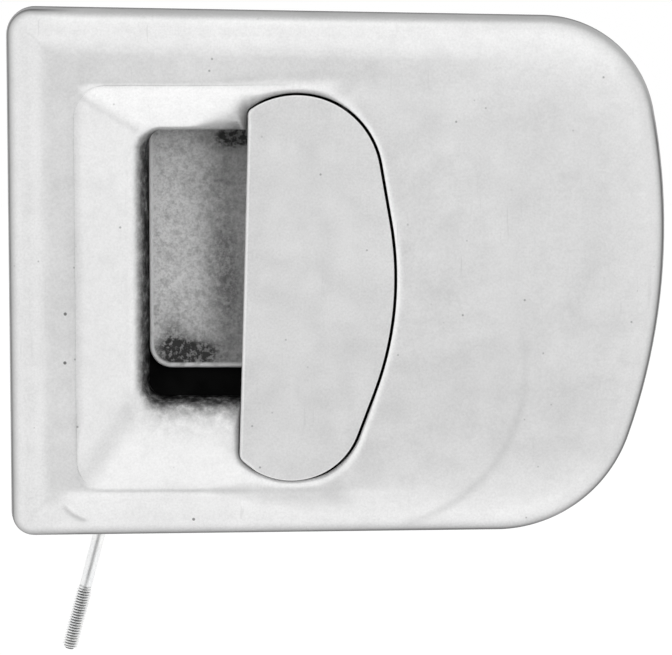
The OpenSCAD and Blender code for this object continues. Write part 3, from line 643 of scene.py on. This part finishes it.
# The pan's skin: rows up its side, over its rolled rim and across its uneven floor.
PAN_CENTRE, PAN_ROUND, PAN_ROWS = np.array([-27.0, 5.0]), 360, 60
PAN_SIDE_Y, PAN_ROLL_R, PAN_SUNK = (FLOOR_BACK_Y, 15.5, FLOOR_Y + 1.4), 0.5, 0.25
PAN_ROLL_ANGLES, PAN_WAVE_ROWS = np.linspace(12, 150, 12), (0.02, 0.4)
PAN_WAVE = dict(deep=0.12, across=0.35, shift=1.0, up=0.21)

# Dark smudges of dirt on the pan, and painted shadow under its top lip and along the paddle: place, half
# width, half height and strength.
SMUDGES_AND_SHADOWS = ((-37.0, -21.5, 7.5, 3.4, 1.4), (-25.0, 32.5, 5.5, 2.6, 1.2), (-41.0, -17.0, 3.0, 5.0, 0.5),
           (-27.0, -6.0, 5.0, 11.0, 0.45), (-29.0, 21.0, 5.0, 8.0, 0.3), (-28.5, 7.0, 4.5, 7.0, 0.3))


def soil_and_shadow(x, z):
    """How dark the pan is painted: dirt low on its left, painted shadow under the top lip beside the paddle
    and along its right.
    """
    total = np.zeros(len(x))
    for cx, cz, wide, high, much in SMUDGES_AND_SHADOWS:
        total = total + much * np.exp(-((x - cx) / wide) ** 2 - ((z - cz) / high) ** 2)
    return np.minimum(total, 1.0)


def make_floor():
    """The pan in the recess: a rolled rim, and inside it a little lower and uneven, with values stored for
    its painted bright rim and for its dirt and painted shadow.
    """
    ring = resample(panel(FLOOR_BOX, FLOOR_R), PAN_ROUND)
    rows = [level(ring, y) for y in PAN_SIDE_Y]
    for angle in PAN_ROLL_ANGLES:
        turn = math.radians(angle)
        inset, rise = PAN_ROLL_R * (1 - math.cos(turn)), PAN_ROLL_R * (1 - math.sin(turn))
        rows.append(level(resample(panel(FLOOR_BOX, FLOOR_R, inset), PAN_ROUND), FLOOR_Y + rise))
    edge = len(rows)
    rim = rows[-1][:, [0, 2]]
    for k in range(1, PAN_ROWS):
        part = k / PAN_ROWS
        p = rim + (PAN_CENTRE - rim) * part
        wave = PAN_WAVE["deep"] * np.sin(p[:, 0] * PAN_WAVE["across"] + PAN_WAVE["shift"])
        wave = wave * np.cos(p[:, 1] * PAN_WAVE["up"]) * step(part, *PAN_WAVE_ROWS)
        rows.append(level(p, FLOOR_Y + PAN_SUNK + np.abs(wave)))
    pan = loft("floor_pan", rows, cap_last=True, flip=True)
    store(pan, "rim", [np.full(len(ring), 1.0 if i < edge else 0.0) for i in range(len(rows))])
    store(pan, "soil_and_shadow", [soil_and_shadow(row[:, 0], row[:, 2]) for row in rows])
    return pan


# The rod's end behind the crank, and how its thread begins, runs and ends.
ROD_SIDES, ROD_OVERHANG, ROD_CHAMFER, ROD_RUNOUT = 28, 2.4, 0.35, 0.6
THREAD_STEPS, TOOTH_SLOPE, ROOT_DEEP, LEAD_DEEP = 12, (0.05, 0.85), 0.14, 0.06
LEAD_IN, LEAD_OUT, LEAD_LEAST, TIP_L, TIP_DEEP = 1.4, 1.0, 0.02, 0.7, 0.45
# Radii over which the thread's grooves go from painted dark to the zinc's full tone: painted shade.
GROOVE_R = (ROD_R - 0.12, ROD_R - 0.01)


def thread_radius(along, angles):
    """The rod's radius at angles round it, a distance along its thread."""
    left = THREAD_L - along
    phase = (along / PITCH - angles / (2 * math.pi)) % 1.0
    tooth = step(np.clip(1 - np.abs(phase - 0.5) * 2.0, 0, 1), *TOOTH_SLOPE)
    lead = min(1.0, along / LEAD_IN, left / LEAD_OUT + LEAD_LEAST)
    root = ROD_R - ROOT_DEEP
    crest = root + (THREAD_R - ROD_R + ROOT_DEEP) * tooth
    base = ROD_R - LEAD_DEEP if along < LEAD_IN else root
    tip = max(0.0, 1 - left / TIP_L)
    return base + (crest - base) * lead - TIP_DEEP * tip


def make_rod():
    """The bent rod with a rolled thread on its last stretch."""
    lean = math.radians(ROD_LEAN)
    down = np.array([-math.sin(lean), 0, -math.cos(lean)])
    eye = np.array([EYE[0], 0, EYE[1]])
    bend = ROD_Y - BEND_R
    path = [eye + [0, y, 0] for y in np.linspace(CRANK_Y - ROD_OVERHANG, bend, 10)]
    for angle in np.linspace(0, 90, 16)[1:]:
        turn = math.radians(angle)
        path.append(eye + [0, bend + BEND_R * math.sin(turn), 0] + down * (BEND_R * (1 - math.cos(turn))))
    thread = ROD_L - THREAD_L
    path += [eye + [0, ROD_Y, 0] + down * s for s in np.linspace(BEND_R, thread - ROD_RUNOUT, 24)[1:]]
    plain, steps = len(path), int(THREAD_L / PITCH * THREAD_STEPS)
    path += [eye + [0, ROD_Y, 0] + down * s for s in np.linspace(thread, ROD_L, steps)]

    def radius(i, angles):
        """The rod's radius at one point of its path."""
        if i == 0:
            return np.full(len(angles), ROD_R - ROD_CHAMFER)
        if i < plain:
            return np.full(len(angles), ROD_R)
        return thread_radius((i - plain) / (steps - 1) * THREAD_L, angles)
    return sweep("rod", path, radius, ROD_SIDES)


SPRING_SIDES, SPRING_POINTS = 12, 150
LEG_START, FIXED_LEG, CRANK_LEG = 0.8, 13, 19


def make_spring():
    """The torsion spring: a coil with one leg up to the bowl and one along the crank."""
    coil = []
    for i in range(SPRING_POINTS + 1):
        turn = math.radians(-360 * SPRING_TURNS * i / SPRING_POINTS)
        y = SPRING_Y[0] + (SPRING_Y[1] - SPRING_Y[0]) * i / SPRING_POINTS
        coil.append((CRANK[0] + SPRING_R * math.cos(turn), y, CRANK[1] + SPRING_R * math.sin(turn)))
    coil = np.array(coil)
    first = [coil[0] + [0, 0, h] for h in np.linspace(FIXED_LEG, LEG_START, 10)]
    last = [coil[-1] - [h, 0, 0] for h in np.linspace(LEG_START, CRANK_LEG, 14)]
    path = np.vstack([first, coil, last])
    return sweep("spring_wire", path, lambda i, angles: np.full(len(angles), WIRE_R), SPRING_SIDES)


# Materials

def opaque(tone):
    """A grey or a colour with full alpha."""
    return (tone, tone, tone, 1) if isinstance(tone, (int, float)) else (*tone, 1)


def sums(tree, how, a, b=0.0):
    """A math node with two inputs, each a number or a socket."""
    node = tree.nodes.new("ShaderNodeMath")
    node.operation = how
    for value, socket in ((a, node.inputs[0]), (b, node.inputs[1])):
        if isinstance(value, bpy.types.NodeSocket):
            tree.links.new(value, socket)
        else:
            socket.default_value = value
    return node.outputs["Value"]


class Nodes:
    """A material being built from nodes, in millimetres of the row frame."""

    def __init__(self, name, **shader):
        self.material = bpy.data.materials.new(name)
        self.material.use_nodes = True
        self.tree = self.material.node_tree
        self.shader = self.tree.nodes["Principled BSDF"]
        for key, value in shader.items():
            self.shader.inputs[key.replace("_", " ")].default_value = value
        self.place = self.add("ShaderNodeTexCoord").outputs["Object"]

    def add(self, kind, **settings):
        """A new node with these settings."""
        node = self.tree.nodes.new(kind)
        for key, value in settings.items():
            setattr(node, key, value)
        return node

    def link(self, a, b):
        """Join an output to an input."""
        self.tree.links.new(a, b)

    def mapped(self, scale=(1, 1, 1), turn=(0, 0, 0)):
        """The place in millimetres, scaled and turned."""
        node = self.add("ShaderNodeMapping")
        self.link(self.place, node.inputs["Vector"])
        node.inputs["Scale"].default_value = [s / MM for s in scale]
        node.inputs["Rotation"].default_value = [math.radians(t) for t in turn]
        return node.outputs["Vector"]

    def noise(self, size, detail=4.0, rough=0.5, scale=(1, 1, 1), turn=(0, 0, 0), distort=0.0):
        """Noise with features about size millimetres across."""
        node = self.add("ShaderNodeTexNoise")
        self.link(self.mapped(scale, turn), node.inputs["Vector"])
        node.inputs["Scale"].default_value = 1.0 / size
        node.inputs["Detail"].default_value = detail
        node.inputs["Roughness"].default_value = rough
        node.inputs["Distortion"].default_value = distort
        return node.outputs["Fac"]

    def cells(self, size):
        """Distance from scattered points about size millimetres apart."""
        node = self.add("ShaderNodeTexVoronoi")
        self.link(self.mapped(), node.inputs["Vector"])
        node.inputs["Scale"].default_value = 1.0 / size
        return node.outputs["Distance"]

    def ramp(self, source, *stops):
        """A colour ramp; stops are (position, grey or colour)."""
        node = self.add("ShaderNodeValToRGB")
        self.link(source, node.inputs["Fac"])
        elements = node.color_ramp.elements
        while len(elements) < len(stops):
            elements.new(0.5)
        for element, (at, tone) in zip(elements, stops):
            element.position = at
            element.color = opaque(tone)
        return node.outputs["Color"]

    def mix(self, a, b, factor, how="MIX"):
        """Two colours mixed by a factor; each may be a socket."""
        node = self.add("ShaderNodeMix", data_type="RGBA", blend_type=how)
        for value, socket in ((factor, node.inputs["Factor"]), (a, node.inputs["A"]), (b, node.inputs["B"])):
            if isinstance(value, bpy.types.NodeSocket):
                self.link(value, socket)
            else:
                socket.default_value = value if socket.type == "VALUE" else opaque(value)
        return node.outputs["Result"]

    def times(self, a, b):
        """Two colours multiplied."""
        return self.mix(a, b, 1.0, "MULTIPLY")

    def axis(self, letter):
        """One coordinate of the place, in metres."""
        node = self.add("ShaderNodeSeparateXYZ")
        self.link(self.place, node.inputs["Vector"])
        return node.outputs[letter]

    def span(self, source, low, high, to_low=0.0, to_high=1.0, smooth=True):
        """A value brought from one range to another."""
        node = self.add("ShaderNodeMapRange", interpolation_type="SMOOTHSTEP" if smooth else "LINEAR")
        self.link(source, node.inputs["Value"])
        for key, value in (("From Min", low), ("From Max", high), ("To Min", to_low), ("To Max", to_high)):
            node.inputs[key].default_value = value
        return node.outputs["Result"]

    def math(self, how, a, b=0.0):
        """A math node on two numbers or sockets."""
        return sums(self.tree, how, a, b)

    def bump(self, *layers):
        """Layers of (height source, depth in mm)."""
        last = None
        for height, depth in layers:
            node = self.add("ShaderNodeBump")
            node.inputs["Distance"].default_value = depth * MM
            node.inputs["Strength"].default_value = 1.0
            self.link(height, node.inputs["Height"])
            if last:
                self.link(last, node.inputs["Normal"])
            last = node.outputs["Normal"]
        self.link(last, self.shader.inputs["Normal"])

    def spot(self, x, z, r, tone):
        """White, but for a round mark of this tone at a place on the face, in millimetres."""
        far = self.add("ShaderNodeVectorMath", operation="DISTANCE")
        self.link(self.mapped((1, 0, 1)), far.inputs[0])
        far.inputs[1].default_value = (x, 0, z)
        return self.span(far.outputs["Value"], r * MARK_CORE, r * MARK_EDGE, tone, 1.0)

    def stored(self, name):
        """A value stored on the mesh's points."""
        return self.add("ShaderNodeAttribute", attribute_name=name).outputs["Fac"]

    def colour(self, socket):
        """Set the shader's colour."""
        self.link(socket, self.shader.inputs["Base Color"])

    def rough(self, socket):
        """Set the shader's roughness."""
        self.link(socket, self.shader.inputs["Roughness"])


# Dark specks on the plate: place, radius and tone. They fade between two shares of the radius.
MARK_CORE, MARK_EDGE = 0.6, 1.2
MARKS = ((-65.0, -9.6, 0.42, 0.25), (-65.2, -21.4, 0.42, 0.2), (-34.5, -59.6, 0.4, 0.3),
         (-52.0, 11.0, 0.3, 0.55))


def paint(name, light, dirty_and_shaded=False):
    """Satin silver-grey paint, darkened by values stored on the mesh: rubbed edges with painted shade, and
    dirt with painted shade round the recess.
    """
    look = Nodes(name, IOR=1.5)
    cloud = look.ramp(look.noise(34, 3, 0.55), (0.3, light * 0.965), (0.7, light * 1.015))
    blotch = look.ramp(look.noise(5.0, 4, 0.6), (0.3, 0.955), (0.52, 1.0), (0.75, 1.02))
    grain = look.ramp(look.noise(0.55, 2, 0.6), (0.3, 0.93), (0.7, 1.04))
    colour = look.times(look.times(cloud, blotch), grain)
    specks = look.ramp(look.cells(4.2), (0.0, 0.4), (0.05, 0.62), (0.085, 1.0))
    sparse = look.ramp(look.noise(11, 1), (0.56, 0.0), (0.62, 1.0))
    colour = look.times(colour, look.mix(1.0, specks, sparse))
    scratch = look.ramp(look.noise(1.0, 2, 0.6, (0.9, 0.9, 0.035), (0, 24, 0)), (0.66, 0.0), (0.71, 1.0))
    where = look.ramp(look.noise(21, 2), (0.50, 0.0), (0.64, 1.0))
    scratched = look.math("MULTIPLY", look.math("MULTIPLY", scratch, where), 0.6)
    colour = look.mix(colour, light * 0.8, scratched)
    lightness_left = look.stored("wear_and_shade")
    if dirty_and_shaded:
        for mark in MARKS:
            colour = look.times(colour, look.spot(*mark))
        ragged = look.span(look.noise(2.6, 6, 0.7), 0.3, 0.7, 0.4, 1.8, smooth=False)
        lightness_left = look.math("MULTIPLY", lightness_left, look.math("POWER", look.stored("shade"), ragged))
    # Painted shade: the stored masks darken the colour and also take metal and sheen out of the shaded
    # places.
    look.colour(look.times(colour, lightness_left))
    look.link(look.math("MULTIPLY", lightness_left, 0.6), look.shader.inputs["Metallic"])
    look.link(look.math("MULTIPLY", lightness_left, 0.5), look.shader.inputs["Specular IOR Level"])
    look.rough(look.ramp(look.noise(8, 4, 0.6), (0.3, 0.29), (0.7, 0.37)))
    look.bump((look.noise(1.5, 3, 0.5), 0.012), (look.noise(0.25, 2, 0.6), 0.004))
    return look.material


def casting():
    """The unpainted back of the plate and paddle."""
    look = Nodes("raw_casting", Metallic=0.6)
    look.colour(look.ramp(look.noise(5, 5, 0.6), (0.3, 0.16), (0.7, 0.24)))
    look.rough(look.ramp(look.noise(1.2, 4), (0.3, 0.5), (0.7, 0.66)))
    look.bump((look.noise(0.7, 4, 0.6), 0.02))
    return look.material


def overspray():
    """Dry grey spray on the pan: lighter towards the open side from the spray and painted shade, specked,
    with dirt and painted shadow, and a bright rim that is part unpainted metal, part painted highlight.
    """
    look = Nodes("dry_overspray", Metallic=0.1)
    patch = look.ramp(look.noise(7, 6, 0.65, distort=0.6), (0.30, 0.84), (0.5, 0.95), (0.72, 1.0))
    # Lighter on the left, darker under the paddle: spray thinning out and painted shade.
    spray_and_shade_fade = look.span(look.axis("X"), -46.5 * MM, -27.0 * MM, 1.1, 0.62, smooth=False)
    spots = look.ramp(look.noise(1.7, 3, 0.6), (0.32, 0.72), (0.54, 1.0), (0.75, 1.05))
    fine = look.ramp(look.noise(0.6, 2, 0.5), (0.34, 0.82), (0.6, 1.04))
    colour = look.times(look.times(look.times(patch, spray_and_shade_fade), spots), fine)
    ragged = look.span(look.noise(0.9, 3, 0.6), 0.36, 0.6, 0.6, 1.3)
    # Dark dirt and painted shadow from the stored values.
    smudge_and_shadow = look.math("MULTIPLY", look.stored("soil_and_shadow"), ragged)
    colour = look.mix(colour, 0.02, look.math("MINIMUM", smudge_and_shadow, 0.96))
    # The rolled rim painted bright: unpainted metal and painted highlight.
    wear_and_painted_light = look.span(look.noise(3.0, 4), 0.3, 0.6, 0.55, 1.0)
    bare_and_lit_rim = look.math("MULTIPLY", look.stored("rim"), wear_and_painted_light)
    look.colour(look.mix(colour, 0.95, bare_and_lit_rim))
    look.rough(look.ramp(look.noise(2.2, 4), (0.3, 0.6), (0.7, 0.85)))
    look.bump((look.noise(0.9, 5, 0.7), 0.06))
    return look.material


def black_moulding():
    """The bowl's fine-grained black plastic."""
    look = Nodes("black_moulding", IOR=1.46, Specular_IOR_Level=0.12)
    look.colour(look.ramp(look.noise(6, 5), (0.3, 0.002), (0.7, 0.008)))
    look.rough(look.ramp(look.noise(0.4, 3), (0.3, 0.5), (0.7, 0.66)))
    look.bump((look.noise(0.35, 3, 0.6), 0.02))
    return look.material


def rubber():
    """Matt black rubber of the gasket and the stop pads."""
    look = Nodes("black_rubber", IOR=1.5)
    look.colour(look.ramp(look.noise(4, 4), (0.3, 0.018), (0.7, 0.035)))
    look.rough(look.ramp(look.noise(0.6, 3), (0.3, 0.72), (0.7, 0.88)))
    look.bump((look.noise(0.5, 3, 0.6), 0.02))
    return look.material


def zinc(name, light=0.72, grooves=None):
    """Zinc plate on steel. On the rod its thread's grooves are painted dark, told by the stored radius:
    painted shade.
    """
    look = Nodes(name, Metallic=1.0)
    dull, bright = (light * 0.94, light * 0.95, light * 0.96), (light, light, light * 0.99)
    tint = look.ramp(look.noise(5, 4), (0.3, dull), (0.7, bright))
    tint = look.times(tint, look.ramp(look.noise(0.5, 3), (0.35, 0.9), (0.6, 1.0)))
    if grooves:
        # Painted shade in the thread's grooves.
        tint = look.times(tint, look.span(look.stored("radius"), *grooves, 0.12, 1.0))
    look.colour(tint)
    look.rough(look.ramp(look.noise(1.4, 4), (0.3, 0.26), (0.7, 0.42)))
    look.bump((look.noise(0.6, 3), 0.008))
    return look.material


def nylon(name, tone):
    """Plain moulded nylon or acetal."""
    look = Nodes(name, IOR=1.5)
    look.colour(look.ramp(look.noise(3, 4), (0.3, [c * 0.93 for c in tone]), (0.7, tone)))
    look.rough(look.ramp(look.noise(0.8, 3), (0.3, 0.42), (0.7, 0.58)))
    look.bump((look.noise(0.5, 2), 0.01))
    return look.material


def dress(obj, material, smooth_angle=None):
    """Give an object one material, and smooth shading up to an angle."""
    obj.data.materials.clear()
    obj.data.materials.append(material)
    if smooth_angle:
        smooth_shade(obj.data, smooth_angle)


# The object

PLATE_PAINT, PADDLE_PAINT = paint("plate_paint", 0.93, dirty_and_shaded=True), paint("paddle_paint", 0.95)
CASTING = casting()
ZINC, SPRING, OXIDE = zinc("zinc_plate"), zinc("spring_steel", 0.36), zinc("black_oxide", 0.05)
BLACK, RUBBER = black_moulding(), rubber()
NYLON, ACETAL = nylon("natural_nylon", (0.80, 0.77, 0.68)), nylon("white_acetal", (0.80, 0.80, 0.77))

for obj in make_plate():
    dress(obj, PLATE_PAINT if obj.name == "plate_skin" else CASTING)
    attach(obj, "handle_frame")
    if obj.name == "plate_skin":
        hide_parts("outer_plate")
for obj in make_paddle():
    dress(obj, PADDLE_PAINT if obj.name == "paddle_skin" else CASTING)
    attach(obj, "paddle")
    if obj.name == "paddle_skin":
        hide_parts("pull_paddle")

pan = make_floor()
dress(pan, overspray())
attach(pan, "handle_frame")
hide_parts("recess_floor_plate")

rod = make_rod()
dress(rod, zinc("bright_zinc", 0.92, GROOVE_R))
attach(rod, "rod")
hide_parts("link_rod")

spring = make_spring()
dress(spring, SPRING)
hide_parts("crank_spring")
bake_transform(spring)

# Nodes that keep the solid's own shape.
KEPT_NODES = (
    (RUBBER, ("gasket", "paddle_stop_pads")),
    (BLACK, ("recess_bowl",)),
    (ZINC, ("floor_plate_screws", "bowl_screws", "drive_arm", "drive_arm_screws", "bell_crank", "crank_pivot",
            "shoe_rivet", "crank_washer")),
    (OXIDE, ("paddle_pins",)),
    (SPRING, ("crank_circlip",)),
    (NYLON, ("paddle_bushes", "crank_bush", "crank_shoe")),
    (ACETAL, ("rod_clip",)),
)
for material, names in KEPT_NODES:
    for name in names:
        dress(NODES[name], material, SHARP_ANGLE)


# Studio

# Lengths in metres, or in millimetres where the name ends in MM. The camera's rise is in degrees.
GROUND_REACH, GROUND_NEAR_Y, GROUND_Z = 6.0, -0.25, -0.22
GROUND_TONE, GROUND_ROUGH, GROUND_GLOW = 0.8, 0.9, 0.2
WHITE = (1, 1, 1, 1)
FRONT_LIGHT, SIDE_LIGHT, SKY_LIGHT = 0.28, 1.04, 1.02
LAMP_AIM = Vector((0, 0, 0))
CAMERA_AWAY, CAMERA_RISE, CAMERA_CLIP, TARGET_Z_MM = 0.6, 5.0, (0.01, 50), -12.8
SENSOR_MM, PHOTO_PIXELS, PIXEL_MM = 36.0, 672, 0.24


def mirrored(tree, path):
    """One for rays that a mirror or glass sends on, nought for others."""
    return sums(tree, "MAXIMUM", path.outputs["Is Glossy Ray"], path.outputs["Is Transmission Ray"])


def ground_paint():
    """Pale ground with a glow that only the camera and mirrored rays see."""
    material = bpy.data.materials.new("studio_floor")
    material.use_nodes = True
    tree = material.node_tree
    shader = tree.nodes["Principled BSDF"]
    shader.inputs["Base Color"].default_value = opaque(GROUND_TONE)
    shader.inputs["Roughness"].default_value = GROUND_ROUGH
    shader.inputs["Emission Color"].default_value = WHITE
    path = tree.nodes.new("ShaderNodeLightPath")
    shown = sums(tree, "MAXIMUM", path.outputs["Is Camera Ray"], mirrored(tree, path))
    tree.links.new(sums(tree, "MULTIPLY", shown, GROUND_GLOW), shader.inputs["Emission Strength"])
    return material


def make_ground():
    """A wide ground under the part."""
    mesh = bpy.data.meshes.new("studio_floor")
    reach, near, z = GROUND_REACH, GROUND_NEAR_Y, GROUND_Z
    corners = [(-reach, near, z), (reach, near, z), (reach, reach, z), (-reach, reach, z)]
    mesh.from_pydata(corners, [], [(0, 1, 2, 3)])
    floor = add_object("studio_floor", mesh)
    mesh.materials.append(ground_paint())


def rise(tree, source, middle, near, far, top):
    """From the front's light to another, by the distance of a direction's part from its middle."""
    node = tree.nodes.new("ShaderNodeMapRange")
    node.interpolation_type = "SMOOTHSTEP"
    off = sums(tree, "ABSOLUTE", sums(tree, "SUBTRACT", source, middle))
    tree.links.new(off, node.inputs["Value"])
    for key, value in (("From Min", near), ("From Max", far), ("To Min", FRONT_LIGHT), ("To Max", top)):
        node.inputs[key].default_value = value
    return node.outputs["Result"]


def make_world():
    """A dim front, where the camera stands, between brighter sides and a white sky and ground."""
    world = bpy.data.worlds.new("studio")
    bpy.context.scene.world = world
    world.use_nodes = True
    tree = world.node_tree
    link = tree.links.new
    light, plain = tree.nodes["Background"], tree.nodes.new("ShaderNodeBackground")
    for background in (light, plain):
        background.inputs["Color"].default_value = WHITE
    place = tree.nodes.new("ShaderNodeTexCoord")
    split = tree.nodes.new("ShaderNodeSeparateXYZ")
    link(place.outputs["Generated"], split.inputs["Vector"])
    across = rise(tree, split.outputs["X"], middle=0.1, near=0.2, far=0.7, top=SIDE_LIGHT)
    upright = rise(tree, split.outputs["Z"], middle=-0.066, near=0.14, far=0.46, top=SKY_LIGHT)
    behind = sums(tree, "GREATER_THAN", split.outputs["Y"])
    around = sums(tree, "MAXIMUM", across, upright)
    around = sums(tree, "MAXIMUM", around, sums(tree, "MULTIPLY", behind, SIDE_LIGHT))
    link(around, light.inputs["Strength"])
    path = tree.nodes.new("ShaderNodeLightPath")
    mix = tree.nodes.new("ShaderNodeMixShader")
    backdrop = sums(tree, "MULTIPLY", mirrored(tree, path), behind)
    link(sums(tree, "MAXIMUM", path.outputs["Is Camera Ray"], backdrop), mix.inputs["Fac"])
    link(light.outputs["Background"], mix.inputs[1])
    link(plain.outputs["Background"], mix.inputs[2])
    link(mix.outputs["Shader"], tree.nodes["World Output"].inputs["Surface"])


def lamp(name, place, size, power, glare=True):
    """A round softbox aimed at the part; without glare it is hidden from reflections."""
    data = bpy.data.lights.new(name, "AREA")
    data.shape, data.size, data.energy = "DISK", size, power
    obj = add_object(name, data)
    obj.location = place
    obj.visible_glossy = glare
    obj.rotation_euler = (LAMP_AIM - Vector(place)).to_track_quat("-Z", "Y").to_euler()


def make_camera():
    """The photo's view: nearly square on, a little from above, with the photo's width across."""
    data = bpy.data.cameras.new("camera")
    cam = add_object("camera", data)
    target, angle = Vector((0.0, FACE_Y * MM, TARGET_Z_MM * MM)), math.radians(CAMERA_RISE)
    cam.location = target + Vector((0, -math.cos(angle), math.sin(angle))) * CAMERA_AWAY
    cam.rotation_euler = (target - cam.location).to_track_quat("-Z", "Y").to_euler()
    data.sensor_width = SENSOR_MM
    data.lens = SENSOR_MM * CAMERA_AWAY / (PHOTO_PIXELS * PIXEL_MM * MM)
    data.clip_start, data.clip_end = CAMERA_CLIP
    bpy.context.scene.camera = cam


make_ground()
make_world()
lamp("top_softbox", place=(0.0, -0.5, 0.9), size=0.7, power=0.5)
lamp("key_softbox", place=(0.20, -0.66, 0.10), size=0.35, power=1.0, glare=False)
make_camera()
bpy.context.scene.view_settings.view_transform = "Standard"
